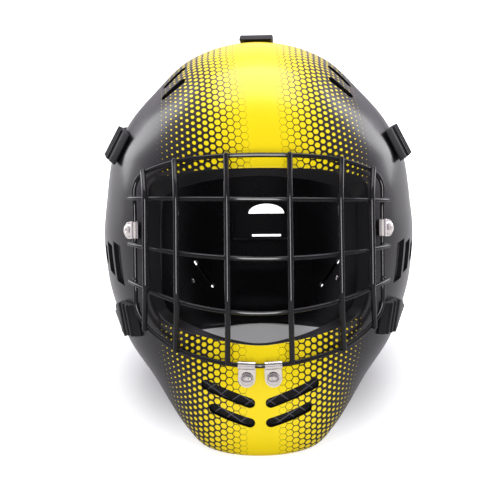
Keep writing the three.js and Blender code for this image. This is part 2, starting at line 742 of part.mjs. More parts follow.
// A buckle: a base on the shell, a tunnel for the strap, ridges for the thumb on top, and a
// wedge towards the face.
function buckle(run, wedge) {
  const { length, width, height, base, end, toe } = BUCKLE;
  const half = length / 2;
  const valley = height - BUCKLE_RIDGES.height;
  const outline = new THREE.Shape();
  outline.moveTo(-half - wedge, 0);
  outline.lineTo(half, 0);
  outline.lineTo(half, valley);
  const pitch = (length - end) / BUCKLE_RIDGES.count;
  for (let i = 0; i < BUCKLE_RIDGES.count; i++) {
    const from = half - i * pitch;
    outline.lineTo(from - BUCKLE_RIDGES.rise * pitch, height);
    outline.lineTo(from - BUCKLE_RIDGES.top * pitch, height);
    outline.lineTo(from - BUCKLE_RIDGES.foot * pitch, valley);
    outline.lineTo(from - pitch, valley);
  }
  outline.lineTo(-half, valley);
  outline.lineTo(-half - wedge, toe);
  outline.closePath();
  const body = new THREE.ExtrudeGeometry(outline, { depth: width, bevelEnabled: false });
  body.rotateX(Math.PI / 2).translate(0, width / 2, 0);
  const gate = STRAP.thickness + 2 * GAP;
  const tunnel = new THREE.BoxGeometry(length, STRAP.width + 2 * GAP, gate);
  tunnel.translate(half - end, 0, base + gate / 2);
  const { mouth } = run;
  const point = mouth.point.clone().addScaledVector(mouth.out, GAP);
  return cutBy(body, [tunnel]).applyMatrix4(frameMatrix({ ...mouth, point }));
}

function rivetBore(run) {
  const radius = RIVET.shank + GAP;
  const depth = 20;
  const hole = new THREE.CylinderGeometry(radius, radius, depth, 8);
  return hole.rotateX(Math.PI / 2).applyMatrix4(frameMatrix(run.at(1)));
}

function rivet(run) {
  const { radius, dome, shank, shoulder } = RIVET;
  const seat = 2 * GAP + STRAP.thickness + GAP;
  const tail = -WALL - RIVET.tail;
  const profile = [
    [0, tail],
    [shank, tail],
    [shank, seat],
    [radius, seat],
    [radius * shoulder, seat + dome * shoulder],
    [0, seat + dome],
  ];
  return turned(profile, 12).applyMatrix4(frameMatrix(run.at(1)));
}

// ---------- assembly ----------

const material = (color, roughness, metalness = 0) =>
  new THREE.MeshStandardMaterial({ color, roughness, metalness });
const paintedShell = material("#2b2a2c", 0.45);
const blackPlastic = material("#1a1a1c", 0.5);
const coatedWire = material("#0c0c0d", 0.3);
const platedSteel = material("#b9b4ab", 0.28, 1);
const blackFoam = material("#1b1b1d", 0.95);
const webbing = material("#151516", 0.9);

const worn = new THREE.Group();
function place(name, geometry, finish) {
  const mesh = new THREE.Mesh(geometry, finish);
  mesh.name = name;
  worn.add(mesh);
}

const sideName = (side) => (side < 0 ? "_left" : side > 0 ? "_right" : "");

const clipFrames = [];
for (const side of [-1, 1])
  for (const [name, ring] of [
    ["chin", ringAt("x", CHIN_CLIP_X, false)],
    ["side", ringAt("z", SIDE_CLIP_Z)],
  ])
    clipFrames.push({ name, side, frame: clipFrame(ring, side) });

place("front_shell", shell(clipFrames.map((clip) => clip.frame)), paintedShell);
place("back_plate", backPlate(), blackPlastic);
place("wire_cage", cage(), coatedWire);
for (const { name, side, frame } of clipFrames) {
  place(name + "_clip" + sideName(side), clip().applyMatrix4(frame), platedSteel);
  place(name + "_screw" + sideName(side), screw().applyMatrix4(frame), platedSteel);
}
for (const side of [-1, 1]) place("side_pad" + sideName(side), sidePad(side), blackFoam);
place("chin_pad", chinPad(), blackFoam);
for (const row of STRAPS)
  for (const side of row.sides) {
    const run = strapRun(row, side);
    place(row.name + "_strap" + sideName(side), strap(run), webbing);
    place(row.name + "_buckle" + sideName(side), buckle(run, row.wedge), blackPlastic);
    place(row.name + "_rivet" + sideName(side), rivet(run), platedSteel);
  }

// Tipped back to rest, with the origin under the middle of the whole.
worn.rotation.x = -TILT;
const part = new THREE.Group();
part.add(worn);
part.updateMatrixWorld(true);
const bounds = new THREE.Box3().setFromObject(part, true);
const middle = bounds.getCenter(vector());
worn.position.set(-middle.x, -middle.y, -bounds.min.z);

export default part;
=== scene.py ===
# %% [markdown]
# A floorball goalie mask, modelled for looks around its construction model.
#
# The real mask is a moulded shell with an eye port, a cage of welded wire over the port, a
# second moulded plate behind the head, and elastic straps that hold the plate on. Each
# piece is made in the same frame as the construction model, in metres, so that nothing has
# to be fitted by eye.

# %% The frame
import math

import bpy
import numpy as np
from mathutils import Matrix, Vector


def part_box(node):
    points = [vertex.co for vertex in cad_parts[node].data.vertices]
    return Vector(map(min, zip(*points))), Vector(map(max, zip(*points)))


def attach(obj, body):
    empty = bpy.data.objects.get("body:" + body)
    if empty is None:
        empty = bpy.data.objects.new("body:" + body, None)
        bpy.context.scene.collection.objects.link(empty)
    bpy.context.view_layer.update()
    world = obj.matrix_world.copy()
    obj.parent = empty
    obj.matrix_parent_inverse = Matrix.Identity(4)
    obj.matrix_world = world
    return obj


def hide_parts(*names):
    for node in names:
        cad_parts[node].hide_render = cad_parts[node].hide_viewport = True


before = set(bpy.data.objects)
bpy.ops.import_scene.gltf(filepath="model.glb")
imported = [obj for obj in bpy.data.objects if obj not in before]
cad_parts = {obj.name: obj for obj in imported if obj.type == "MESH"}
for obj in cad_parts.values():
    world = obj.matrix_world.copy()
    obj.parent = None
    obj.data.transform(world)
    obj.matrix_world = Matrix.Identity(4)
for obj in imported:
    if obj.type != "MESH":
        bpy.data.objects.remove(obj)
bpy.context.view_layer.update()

MM = 0.001

# %% [markdown]
# The mask is laid out as it is worn, with the face along -Y and the eyes at about z = 40 mm,
# because its sections are easiest to give there. It is then tipped back until it rests on
# its chin and on the lower edge of the back plate. Every piece is built as worn, and its
# mesh is turned and moved at the end by one matrix. The matrix comes from the two points it
# rests on, and from the box of the shell.

# %% Sizes shared by many pieces, in millimetres
WALL = 3.2
GAP = 0.3
CENTRE = np.array([0.0, -15.0, 0.0])  # where the rows over the form fan out from
CHIN_REST = (-86.0, -146.6)
PLATE_REST = (112.0, -63.2)
TILT = math.atan2(PLATE_REST[1] - CHIN_REST[1], PLATE_REST[0] - CHIN_REST[0])
ASIDE = 6.5  # the plate hangs on elastic, and sits this far to the right

# %% [markdown]
# The outer form is one smooth closed surface. It is given by a few horizontal sections, each
# half an ellipse behind and a squarer half in front, and the sizes run smoothly from one
# section to the next. A table with named columns is easier to adjust than a cage of control
# points, and every piece that follows the shell can ask the same form for its place.

# %% The form as a table of sections
SECTION_COLUMNS = ("height", "middle", "half_width", "front", "back", "power", "taper")
SECTIONS = np.array([
    (158.7, 0, 0, 0, 0, 2, 0),
    (152, 0, 37, 38, 45, 2, 0),
    (143, 0, 55, 57, 68, 2, 0),
    (124, 0, 75, 79, 98, 2, 0),
    (97, 0, 98, 95, 118, 2.1, 0.04),
    (69, 0, 111.5, 103, 127, 2.3, 0.12),
    (41, 0, 115.2, 107, 130, 2.5, 0.18),
    (14, 0, 117.5, 109, 130, 2.5, 0.2),
    (-18, 0, 114.6, 109, 127, 2.5, 0.2),
    (-46, -2, 107, 106, 121, 2.3, 0.14),
    (-64, -10, 99.7, 98, 122, 2.1, 0.08),
    (-93, -38, 78, 75, 90, 2, 0),
    (-129, -62, 53, 40, 40, 2.2, 0),
    (-140, -70, 41.5, 24, 24, 2.3, 0),
    (-148.5, -78, 0, 0, 0, 2.3, 0),
])


def smooth_curve(inputs, outputs, level_ends=False):
    """A smooth curve through the points of a table, with no overshoot between them."""
    inputs = np.asarray(inputs, float)
    outputs = np.asarray(outputs, float)
    steps = np.diff(inputs)
    slopes = np.diff(outputs) / steps
    tangents = np.zeros(len(inputs))
    both = slopes[:-1] * slopes[1:]
    total = slopes[:-1] + slopes[1:]
    rising = both > 0
    tangents[1:-1][rising] = 2 * both[rising] / total[rising]
    if not level_ends:
        tangents[0], tangents[-1] = slopes[0], slopes[-1]

    def value(x):
        x = np.asarray(x, float)
        i = np.clip(np.searchsorted(inputs, x) - 1, 0, len(steps) - 1)
        t = np.clip((x - inputs[i]) / steps[i], 0, 1)
        a = t * t * (3 - 2 * t)
        b = t * (1 - t)
        bend = (1 - t) * tangents[i] - t * tangents[i + 1]
        return outputs[i] * (1 - a) + outputs[i + 1] * a + steps[i] * b * bend

    return value


def section_curve(column, square=False):
    values = SECTIONS[:, SECTION_COLUMNS.index(column)]
    return smooth_curve(-SECTIONS[:, 0], values**2 if square else values)


middle_at = section_curve("middle")
width_squared = section_curve("half_width", square=True)
front_squared = section_curve("front", square=True)
back_squared = section_curve("back", square=True)
power_at = section_curve("power")
taper_at = section_curve("taper")
TOP, BOTTOM = SECTIONS[0, 0], SECTIONS[-1, 0]


def is_inside(points):
    """Which of the points, one per row, are inside the form."""
    down = -points[:, 2]
    y = points[:, 1] - middle_at(down)
    behind = y > 0
    depth = y**2 / np.maximum(np.where(behind, back_squared(down), front_squared(down)), 1e-9)
    narrowed = np.where(behind, 1, (1 - taper_at(down) * depth) ** 2)
    width = points[:, 0] ** 2 / np.maximum(width_squared(down) * np.maximum(narrowed, 0.01), 1e-9)
    half = np.where(behind, 2, power_at(down)) / 2
    level = (down > -TOP) & (down < -BOTTOM)
    return level & (width**half + depth**half < 1)


HALVINGS, BEYOND = 36, 400.0  # steps to a ray's end, and a length that ends outside


def reach(starts, directions):
    """Where rays leave the form."""
    near = np.zeros(len(directions))
    far = np.full(len(directions), BEYOND)
    for _ in range(HALVINGS):
        half = (near + far) / 2
        inside = is_inside(starts + directions * half[:, None])
        near = np.where(inside, half, near)
        far = np.where(inside, far, half)
    return starts + directions * near[:, None]


def unit(vectors):
    return vectors / np.linalg.norm(vectors, axis=-1, keepdims=True)


def rows_of(points):
    return np.atleast_2d(np.asarray(points, float))


def nearest(points):
    """The form's points on rays from its centre through the points."""
    return reach(CENTRE, unit(rows_of(points) - CENTRE))


def normals_at(points):
    """The form's outward normals at points of it."""
    rays = unit(rows_of(points) - CENTRE)
    across = unit(np.cross([0.3, 0.2, 1.0], rays))
    along = np.cross(rays, across)
    nudge = 0.01
    sides = [
        reach(CENTRE, unit(rays + side * nudge)) - reach(CENTRE, unit(rays - side * nudge))
        for side in (across, along)
    ]
    normals = unit(np.cross(*sides))
    return normals * np.sign(np.sum(normals * rays, axis=1))[:, None]


def lifted(points, distance):
    """Points of the form moved out along its normals."""
    points = rows_of(points)
    return points + normals_at(points) * np.reshape(distance, (-1, 1))


def seen_from(direction, first, second):
    """The form's points at places in a front, rear or side view."""
    first, second = np.broadcast_arrays(np.asarray(first, float), np.asarray(second, float))
    starts = np.zeros((first.size, 3))
    starts[:, 2] = second.ravel()
    if abs(direction[0]) > 0.5:
        starts[:, 1] = first.ravel()
    else:
        starts[:, 0] = first.ravel()
        starts[:, 1] = middle_at(-starts[:, 2])
    return reach(starts, np.tile(np.array(direction, float), (len(starts), 1)))


FRONT, REAR = (0, -1, 0), (0, 1, 0)

# %% [markdown]
# Each finished mesh goes from the worn layout to the frame in one step, so that its object
# stays at the origin with its place in its mesh. The height and depth of the whole follow
# from the shell, which is measured once its surface exists.

# %% From the worn layout to the frame
TIPPED = Matrix.Rotation(-TILT, 3, "X")


def tipped(points):
    return rows_of(points) @ np.array(TIPPED).T


heights = np.linspace(TOP - 0.5, BOTTOM + 0.5, 400)
turns = np.linspace(0, 2 * np.pi, 240, endpoint=False)
level, turn = [grid.ravel() for grid in np.meshgrid(heights, turns)]
sides = np.stack([np.sin(turn), -np.cos(turn), 0 * turn], axis=1)
hubs = np.stack([0 * level, middle_at(-level), level], axis=1)
skin = tipped(reach(hubs, sides))
shell_low, shell_high = [np.array(corner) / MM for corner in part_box("front_shell")]
SHIFT = np.array([0, shell_low[1] - skin[:, 1].min(), shell_high[2] - skin[:, 2].max()])
WORN = Matrix.Translation(Vector(SHIFT) * MM) @ TIPPED.to_4x4() @ Matrix.Scale(MM, 4)
print("tilt", round(math.degrees(TILT), 2), "degrees, shift", SHIFT.round(2), "mm")

# %% [markdown]
# The camera looks straight at the face from about a metre and a half, level with the eyes,
# as a product picture is taken. Its place is given in the worn layout too, so it looks down
# on the resting mask. A long lens keeps the sides of the cage nearly parallel.

# %% Camera
EYE_LEVEL = 40
CAMERA_DISTANCE = 1500
FOCAL_IN_FRAMES = 1958 / 500
SENSOR = 36
AIM = (-0.0045, 1, -0.0266)
ROLL = math.radians(0.6)

bpy.ops.object.camera_add()
camera = bpy.context.object
camera.data.sensor_width = SENSOR
camera.data.lens = FOCAL_IN_FRAMES * SENSOR
camera.data.clip_end = 20
aim = Vector(AIM).normalized()
upward = Matrix.Rotation(ROLL, 3, "Y") @ Vector((0, 0, 1))
rightward = aim.cross(upward).normalized()
upward = rightward.cross(aim)
worn_turn = Matrix((rightward, upward, -aim)).transposed()
eye = WORN @ Vector((0, -CAMERA_DISTANCE, EYE_LEVEL))
camera.matrix_world = Matrix.Translation(eye) @ (TIPPED @ worn_turn).to_4x4()
bpy.context.scene.camera = camera
print("camera", round(camera.data.lens), "mm lens at", [round(v, 3) for v in eye])

# %% [markdown]
# Black glossy plastic shows almost nothing but what it mirrors, and it mirrors more the
# flatter it is seen. So the light is laid out for its reflections: a broad panel above for
# the glare on the crown, a tall panel on each side for the edges of the shell, and a tall
# window behind the camera, which the round wires draw out into thin bright lines. A fill
# panel in front is crossed out of the reflections, as with polarised light: it brightens
# the yellow and leaves the black alone. The metal of the clips gets a panel of its own.

# %% Floor and light
MIDDLE = Vector((0, 0, 0.12))  # of the mask


def light_panel(name, place, size, power):
    bpy.ops.object.light_add(type="AREA", location=place)
    panel = bpy.context.object
    panel.name = name
    panel.data.shape = "RECTANGLE"
    panel.data.size, panel.data.size_y = size
    panel.data.energy = power
    panel.rotation_euler = (MIDDLE - Vector(place)).to_track_quat("-Z", "Y").to_euler()
    return panel


bpy.ops.mesh.primitive_plane_add(size=12)
floor = bpy.context.object
floor.name = "floor"
light_panel("top_panel", (0, 0.4, 1.4), (1.3, 0.9), 17)
for side, word in ((-1, "left"), (1, "right")):
    light_panel(f"{word}_panel", (1.1 * side, 0.7, 0.6), (0.5, 1.1), 9)
window = light_panel("front_window", eye * 1.05, (0.6, 2.4), 95)
clip_panel = light_panel("clip_panel", (0, -1.2, 0.6), (1.6, 0.6), 2.2)
fill = light_panel("fill_panel", (0, -1.3, 0.3), (1, 0.8), 9.5)
fill.visible_glossy = False

# %% [markdown]
# Colours are written as the hex values that a picture editor shows. Blender mixes light in
# linear values, so one function converts them. One more adds a shader node, sets its values
# and links it. Nothing real has quite one tone, so most materials below start from a soft
# cloud of noise that moves their tone and their gloss a little.

# %% Helpers for materials
def linear(hex_colour):
    channels = [int(hex_colour[i : i + 2], 16) / 255 for i in (1, 3, 5)]
    curve = [c / 12.92 if c <= 0.04045 else ((c + 0.055) / 1.055) ** 2.4 for c in channels]
    return (*curve, 1)


def add_node(tree, kind, inputs=(), **settings):
    """Adds a node, with values or other nodes' outputs on its inputs, and gives its outputs."""
    made = tree.nodes.new(kind)
    for name, value in settings.items():
        setattr(made, name, value)
    for name, value in dict(inputs).items():
        if isinstance(value, bpy.types.NodeSocket):
            tree.links.new(value, made.inputs[name])
        else:
            made.inputs[name].default_value = value
    return made.outputs


def new_material(name, **values):
    """A material and its shader, with the shader's own sockets set."""
    made = bpy.data.materials.new(name)
    made.use_nodes = True
    shader = made.node_tree.nodes["Principled BSDF"]
    for socket, value in values.items():
        shader.inputs[socket.replace("_", " ")].default_value = value
    return made, made.node_tree, shader


def clouded_material(name, tones, cloud_scale, detail=3, gloss=None, **values):
    """A material whose tone, and gloss, wander between two values over its surface."""
    made, tree, shader = new_material(name, **values)
    place = add_node(tree, "ShaderNodeTexCoord")["Object"]
    cloud = add_node(tree, "ShaderNodeTexNoise",
                     {"Vector": place, "Scale": cloud_scale, "Detail": detail})[0]
    tone = add_node(tree, "ShaderNodeMix",
                    {0: cloud, 6: linear(tones[0]), 7: linear(tones[1])}, data_type="RGBA")[2]
    tree.links.new(tone, shader.inputs["Base Color"])
    if gloss:
        wander = add_node(tree, "ShaderNodeMapRange", {0: cloud, 3: gloss[0], 4: gloss[1]})[0]
        tree.links.new(wander, shader.inputs["Roughness"])
    return made, tree, shader, place, tone


def link_bump(tree, shader, height, strength, distance):
    bump = add_node(tree, "ShaderNodeBump",
                    {"Height": height, "Strength": strength, "Distance": distance})
    tree.links.new(bump["Normal"], shader.inputs["Normal"])

# %% [markdown]
# The surround is white behind and beside the mask and grey towards the camera, as in a
# tent whose open side faces the lens. Faces that look at the camera mirror the open side
# and stay black, and the faces that turn away pick up the white.

# %% Surround and floor
OPENING_MIDDLE, OPENING_EDGE, OPENING_GREY = 0.95, -0.25, 0.22
# Nearer the middle than GLOW_TO the floor's glow is turned down, a painted shadow under the mask.
GLOW_FROM, GLOW_TO, GLOW = 0.08, 0.15, 0.85  # the table is dimmer under the mask
# Colours are shown as they are, so that the print keeps its clear yellow.
bpy.context.scene.view_settings.view_transform = "Standard"
world = bpy.data.worlds.new("white_tent")
bpy.context.scene.world = world
world.use_nodes = True
tree = world.node_tree
surround = tree.nodes["Background"]
looking = add_node(tree, "ShaderNodeTexCoord")["Generated"]
to_camera = add_node(tree, "ShaderNodeVectorMath",
                     {0: looking, 1: (eye - MIDDLE).normalized()},
                     operation="DOT_PRODUCT")["Value"]
white = add_node(tree, "ShaderNodeMapRange",
                 {0: to_camera, 1: OPENING_MIDDLE, 2: OPENING_EDGE, 3: OPENING_GREY, 4: 1},
                 interpolation_type="SMOOTHSTEP")[0]
seen = add_node(tree, "ShaderNodeLightPath")["Is Camera Ray"]
strength = add_node(tree, "ShaderNodeMix", {0: seen, 2: white, 3: 1})[0]
tree.links.new(strength, surround.inputs["Strength"])
tint = add_node(tree, "ShaderNodeMix", {0: seen, 6: linear("#F4EEFC"), 7: linear("#FFFFFF")},
                data_type="RGBA")[2]
tree.links.new(tint, surround.inputs["Color"])

# The floor glows white to the camera alone, and under the mask its glow is dimmed to a painted
# shadow.
floor_with_painted_shadow, tree, shader, place, _ = clouded_material(
    "white_floor_with_painted_shadow", ("#C6C6C6", "#CCCCCC"), 3, detail=2,
    Roughness=0.9, Specular_IOR_Level=0.2, Emission_Color=(1, 1, 1, 1))
from_middle = add_node(tree, "ShaderNodeVectorMath", {0: place}, operation="LENGTH")["Value"]
glow = add_node(tree, "ShaderNodeMapRange",
                {0: from_middle, 1: GLOW_FROM, 2: GLOW_TO, 3: 0.1, 4: GLOW})[0]
seen = add_node(tree, "ShaderNodeLightPath")["Is Camera Ray"]
glow_seen = add_node(tree, "ShaderNodeMix", {0: seen, 2: 0, 3: glow})[0]
tree.links.new(glow_seen, shader.inputs["Emission Strength"])
floor.data.materials.append(floor_with_painted_shadow)

# %% [markdown]
# The shell is injection moulded, about 3 mm thick, with a lip that turns in round the eye
# port. A grid is laid over it in columns that fan out round the port: the first rows make
# the lip and its rounded fold, and the rest follow the form to the rear edge. Solidify then
# gives it its wall, Boolean cuts the vents as a router would, and Bevel softens the rims.

# %% The shell's edges
PORT = np.array([
    # edge x and z, then the lip's x and z, and how far back it turns
    (0, 61, 0, 56, 12),
    (36, 60.5, 34, 53, 12),
    (58, 58, 55, 48, 13),
    (73, 54, 66.5, 42.5, 14),
    (79, 46, 71, 35, 15),
    (80.2, 2, 71.8, 2, 15),
    (79.4, -30, 71, -27, 15),
    (76, -42, 68, -38, 14),
    (68, -49.5, 60, -46, 13),
    (52, -55.7, 47, -52.6, 12),
    (24, -61.9, 24, -60.5, 11),
    (0, -64.5, 0, -64.3, 10),
])
REAR_EDGE = np.array([
    # degrees round the front view from the crown, and the edge's y
    (0, 74), (30, 72), (52, 64), (75, 56), (98, 48),
    (114, 28), (127, -2), (140, -34), (158, -61), (180, -79),
])
port_angles = np.arctan2(PORT[:, 0], PORT[:, 1])
port_curves = [
    smooth_curve(port_angles, PORT[:, column], level_ends=column in (1, 3, 4))
    for column in range(5)
]
rear_y = smooth_curve(np.radians(REAR_EDGE[:, 0]), REAR_EDGE[:, 1], level_ends=True)


def shell_columns(turns):
    """For each turn round the port: its lip, its fold and its rear edge."""
    side = np.where(turns > math.pi, -1, 1)
    angle = np.where(turns > math.pi, 2 * math.pi - turns, turns)
    edge_x, edge_z, lip_x, lip_z, lip_depth = [curve(angle) for curve in port_curves]
    edge = seen_from(FRONT, edge_x, edge_z)
    lip = seen_from(FRONT, lip_x, lip_z)
    lip[:, 1] += lip_depth
    hubs = np.stack([0 * angle, rear_y(angle), 0 * angle], axis=1)
    rear = reach(hubs, np.stack([np.sin(angle), 0 * angle, np.cos(angle)], axis=1))
    for points in (edge, lip, rear):
        points[:, 0] *= side
    return lip, edge, rear


def between(starts, ends, share):
    """Directions a share of the way from one to another, on great circles."""
    whole = np.arccos(np.clip(np.sum(starts * ends, axis=1), -1, 1))[:, None]
    return unit(starts * np.sin((1 - share) * whole) + ends * np.sin(share * whole))


# %% The shell's surface
COLUMNS = 288
LIP_ROWS = 7
FOLD_ROWS = 6
FORM_ROWS = 66
FOLD_RADIUS = 2.2

turns = np.linspace(0, 2 * math.pi, COLUMNS, endpoint=False)
lip, edge, rear = shell_columns(turns)
start, end = unit(edge - CENTRE), unit(rear - CENTRE)
span = np.arccos(np.sum(start * end, axis=1)) * np.linalg.norm(edge - CENTRE, axis=1)
fold_out = reach(CENTRE, between(start, end, (FOLD_RADIUS / span)[:, None]))
fold_in = edge + unit(lip - edge) * FOLD_RADIUS
rows = [lip + (fold_in - lip) * i / LIP_ROWS for i in range(LIP_ROWS)]
for i in range(FOLD_ROWS + 1):
    t = i / FOLD_ROWS
    rows.append(fold_in * (1 - t) ** 2 + edge * 2 * t * (1 - t) + fold_out * t**2)
first_share = (FOLD_RADIUS / span)[:, None]
for i in range(1, FORM_ROWS + 1):
    share = first_share + (1 - first_share) * i / FORM_ROWS
    rows.append(reach(CENTRE, between(start, end, share)))
surface = np.stack(rows)
print("shell grid", surface.shape[:2])

# %% [markdown]
# The printed pattern needs to know, at each point of the shell, how far it lies from the
# middle line and how far along that line. Both are real lengths over the surface, so the
# cells keep their size where the shell turns away. The forehead and the chin each have
# their own fan of rows, because the film was laid on each of them from its own middle.

# %% Lengths over the surface
FOREHEAD_HUB, CHIN_HUB = (0.0, 92.0), (-20.0, -72.0)
# The film lies a little crooked: how far aside the band runs, by the length along it.
FOREHEAD_BAND = ((-32, 75), (6.9, -1.5))
CHIN_BAND = ((-60, 10), (1.8, 1.8))
ROW_ANGLES = np.radians(np.arange(-80, 171, 2.5))
SIDE_ANGLES = np.radians(np.arange(0, 89, 1.5))


def fan(hub):
    """Two tables, by row angle and side angle: the length along the middle line and across."""
    hub_point = np.array([0.0, *hub])
    row, side = [g.ravel() for g in np.meshgrid(ROW_ANGLES, SIDE_ANGLES, indexing="ij")]
    rays = np.stack([np.sin(side), -np.cos(side) * np.cos(row), np.cos(side) * np.sin(row)], 1)
    grid = reach(hub_point, rays).reshape(len(ROW_ANGLES), len(SIDE_ANGLES), 3)
    across = np.linalg.norm(np.diff(grid, axis=1), axis=2).cumsum(axis=1)
    along = np.linalg.norm(np.diff(grid[:, 0], axis=0), axis=1).cumsum()
    across = np.concatenate([np.zeros((len(grid), 1)), across], axis=1)
    along = np.concatenate([[0], along])
    level = np.interp(0, ROW_ANGLES, along)
    return along - level, across


def lookup(table, row, side):
    """Reads a table between its rows and columns."""
    i = np.clip((row - ROW_ANGLES[0]) / (ROW_ANGLES[1] - ROW_ANGLES[0]), 0, len(table) - 1.001)
    j = np.clip(side / (SIDE_ANGLES[1] - SIDE_ANGLES[0]), 0, table.shape[1] - 1.001)
    a, b = i.astype(int), j.astype(int)
    s, t = i - a, j - b
    return ((1 - s) * (1 - t) * table[a, b] + s * (1 - t) * table[a + 1, b]
            + (1 - s) * t * table[a, b + 1] + s * t * table[a + 1, b + 1])


def print_lengths(points):
    """Signed length across from the band's middle, and length along it, in millimetres."""
    lengths = np.zeros((len(points), 2))
    halves = (
        (FOREHEAD_HUB, FOREHEAD_BAND, points[:, 2] >= 0),
        (CHIN_HUB, CHIN_BAND, points[:, 2] < 0),
    )
    for hub, band, here in halves:
        along, across = fan(hub)
        y, z = points[here, 1] - hub[0], points[here, 2] - hub[1]
        row = np.arctan2(z, -y)
        side = np.arctan2(np.abs(points[here, 0]), np.hypot(y, z))
        lengths[here, 1] = np.interp(row, ROW_ANGLES, along)
        aside = np.interp(lengths[here, 1], *band)
        lengths[here, 0] = np.sign(points[here, 0]) * lookup(across, row, side) - aside
    return lengths


printed = print_lengths(surface.reshape(-1, 3)).reshape(*surface.shape[:2], 2)
print("pattern runs over", np.ptp(printed[..., 1]).round(), "mm of the middle line")

# %% [markdown]
# A grid primitive is only a flat sheet of numbered points. Each point is given its place
# from the array above, and the first and last columns are welded to close the ring. Smaller
# shaped sheets, such as the plate, the clips and the pads, are made by the same function.

# %% A shaped sheet
def select_only(piece):
    bpy.ops.object.select_all(action="DESELECT")
    piece.select_set(True)
    bpy.context.view_layer.objects.active = piece


def apply_modifiers(piece):
    select_only(piece)
    for modifier in list(piece.modifiers):
        bpy.ops.object.modifier_apply(modifier=modifier.name)


def in_edit_mode(piece, operation, **settings):
    """Runs one operation on the whole mesh of a piece."""
    select_only(piece)
    bpy.ops.object.mode_set(mode="EDIT")
    bpy.ops.mesh.select_all(action="SELECT")
    operation(**settings)
    bpy.ops.object.mode_set(mode="OBJECT")


def face_out(piece):
    """Makes the faces of a closed or open piece point the same way, outwards."""
    in_edit_mode(piece, bpy.ops.mesh.normals_make_consistent, inside=False)


def mesh_object(name, points, edges, faces):
    mesh = bpy.data.meshes.new(name)
    mesh.from_pydata(points, edges, faces)
    made = bpy.data.objects.new(name, mesh)
    bpy.context.collection.objects.link(made)
    return made


def shaped_sheet(name, points, closed=False, lengths=None, materials=(), second_below=0):
    """A grid whose points lie at points[row, column], in worn millimetres.

    Rows under second_below take the second material."""
    points = np.asarray(points, float)
    if closed:
        points = np.concatenate([points, points[:, :1]], axis=1)
        if lengths is not None:
            lengths = np.concatenate([lengths, lengths[:, :1]], axis=1)
    count_rows, count_columns = points.shape[:2]
    bpy.ops.object.select_all(action="DESELECT")
    bpy.ops.mesh.primitive_grid_add(
        x_subdivisions=count_columns - 1, y_subdivisions=count_rows - 1, size=2)
    sheet = bpy.context.object
    sheet.name = name
    mesh = sheet.data
    flat = np.array([vertex.co[:2] for vertex in mesh.vertices])
    column = np.rint((flat[:, 0] + 1) / 2 * (count_columns - 1)).astype(int)
    row = np.rint((flat[:, 1] + 1) / 2 * (count_rows - 1)).astype(int)
    mesh.vertices.foreach_set("co", points[row, column].ravel())
    if lengths is not None:
        corners = np.zeros(len(mesh.loops), int)
        mesh.loops.foreach_get("vertex_index", corners)
        mesh.uv_layers[0].data.foreach_set("uv", lengths[row, column][corners].ravel())
    for material in materials:
        mesh.materials.append(material)
    for polygon in mesh.polygons:
        if np.mean(row[list(polygon.vertices)]) < second_below:
            polygon.material_index = 1
    mesh.update()
    if closed:
        in_edit_mode(sheet, bpy.ops.mesh.remove_doubles, threshold=0.0001)
    return sheet


def finish_piece(piece, node, smooth=40, transform=WORN):
    """Moves a worn mesh into the frame, smooths it, and lets it stand for its CAD node."""
    piece.data.transform(transform)
    piece.data.update()
    select_only(piece)
    bpy.ops.object.shade_smooth_by_angle(angle=math.radians(smooth))
    for each in [node] if isinstance(node, str) else node:
        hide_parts(each)
    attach(piece, "root")
    return piece


def thicken(piece, thickness, offset=-1, material_offset=0):
    """Gives a sheet its wall: inwards at offset -1, on both sides at 0, outwards at 1."""
    wall = piece.modifiers.new("wall", "SOLIDIFY")
    wall.thickness = thickness
    wall.offset = offset
    wall.material_offset = wall.material_offset_rim = material_offset
    wall.use_even_offset = wall.use_quality_normals = True
    apply_modifiers(piece)


def soften_edges(piece, width, segments, degrees):
    """Rounds the edges at which faces meet at more than an angle."""
    rim = piece.modifiers.new("soft_edges", "BEVEL")
    rim.width = width
    rim.segments = segments
    rim.limit_method = "ANGLE"
    rim.angle_limit = math.radians(degrees)
    apply_modifiers(piece)

# %% [markdown]
# The outside of the shell is black ABS with a printed film under a satin lacquer. The film
# has a plain yellow band down the middle, and beside it a honeycomb whose yellow cells
# shrink to dots and fade into the black. The pattern is computed: two lattices of points
# are laid over the lengths found above, the nearer lattice point gives the cell, and the
# cell is filled as far out as its size there allows. Near the band a cell is a hexagon,
# and further out it is a circle.

# %% Printed film on black ABS
CELL = 5.5 * MM  # from one cell to the next down a column
LATTICE = (CELL * math.sqrt(3), CELL, 0)
# How far a cell is filled from its middle, by its distance from the band's middle line,
# both in millimetres. Where it is filled past its edges, there are no lines: the plain band.
CELL_FILL = [(0, 3.5), (13, 3.5), (13.5, 2.62), (34, 2.12), (46, 1.72), (58, 1.28),
             (68, 0.9), (78, 0.5), (88, 0.0)]
FADE_END, FILL_SCALE = CELL_FILL[-1][0] * MM, 4 * MM
ROUND_FROM, ROUND_TO = 20 * MM, 50 * MM
FILM_EDGE = 0.16 * MM  # the blur of the print's edges
PRINT_YELLOWS, PRINT_BLACK = ("#FBDC0A", "#FFE812"), "#1D1B1D"
MATH, VECTOR = "ShaderNodeMath", "ShaderNodeVectorMath"

film, tree, shader, object_place, yellow = clouded_material(
    "printed_film_on_abs", PRINT_YELLOWS, 18, gloss=(0.27, 0.36),
    Roughness=0.32, Specular_IOR_Level=0.3, Coat_Weight=0.2, Coat_Roughness=0.16)

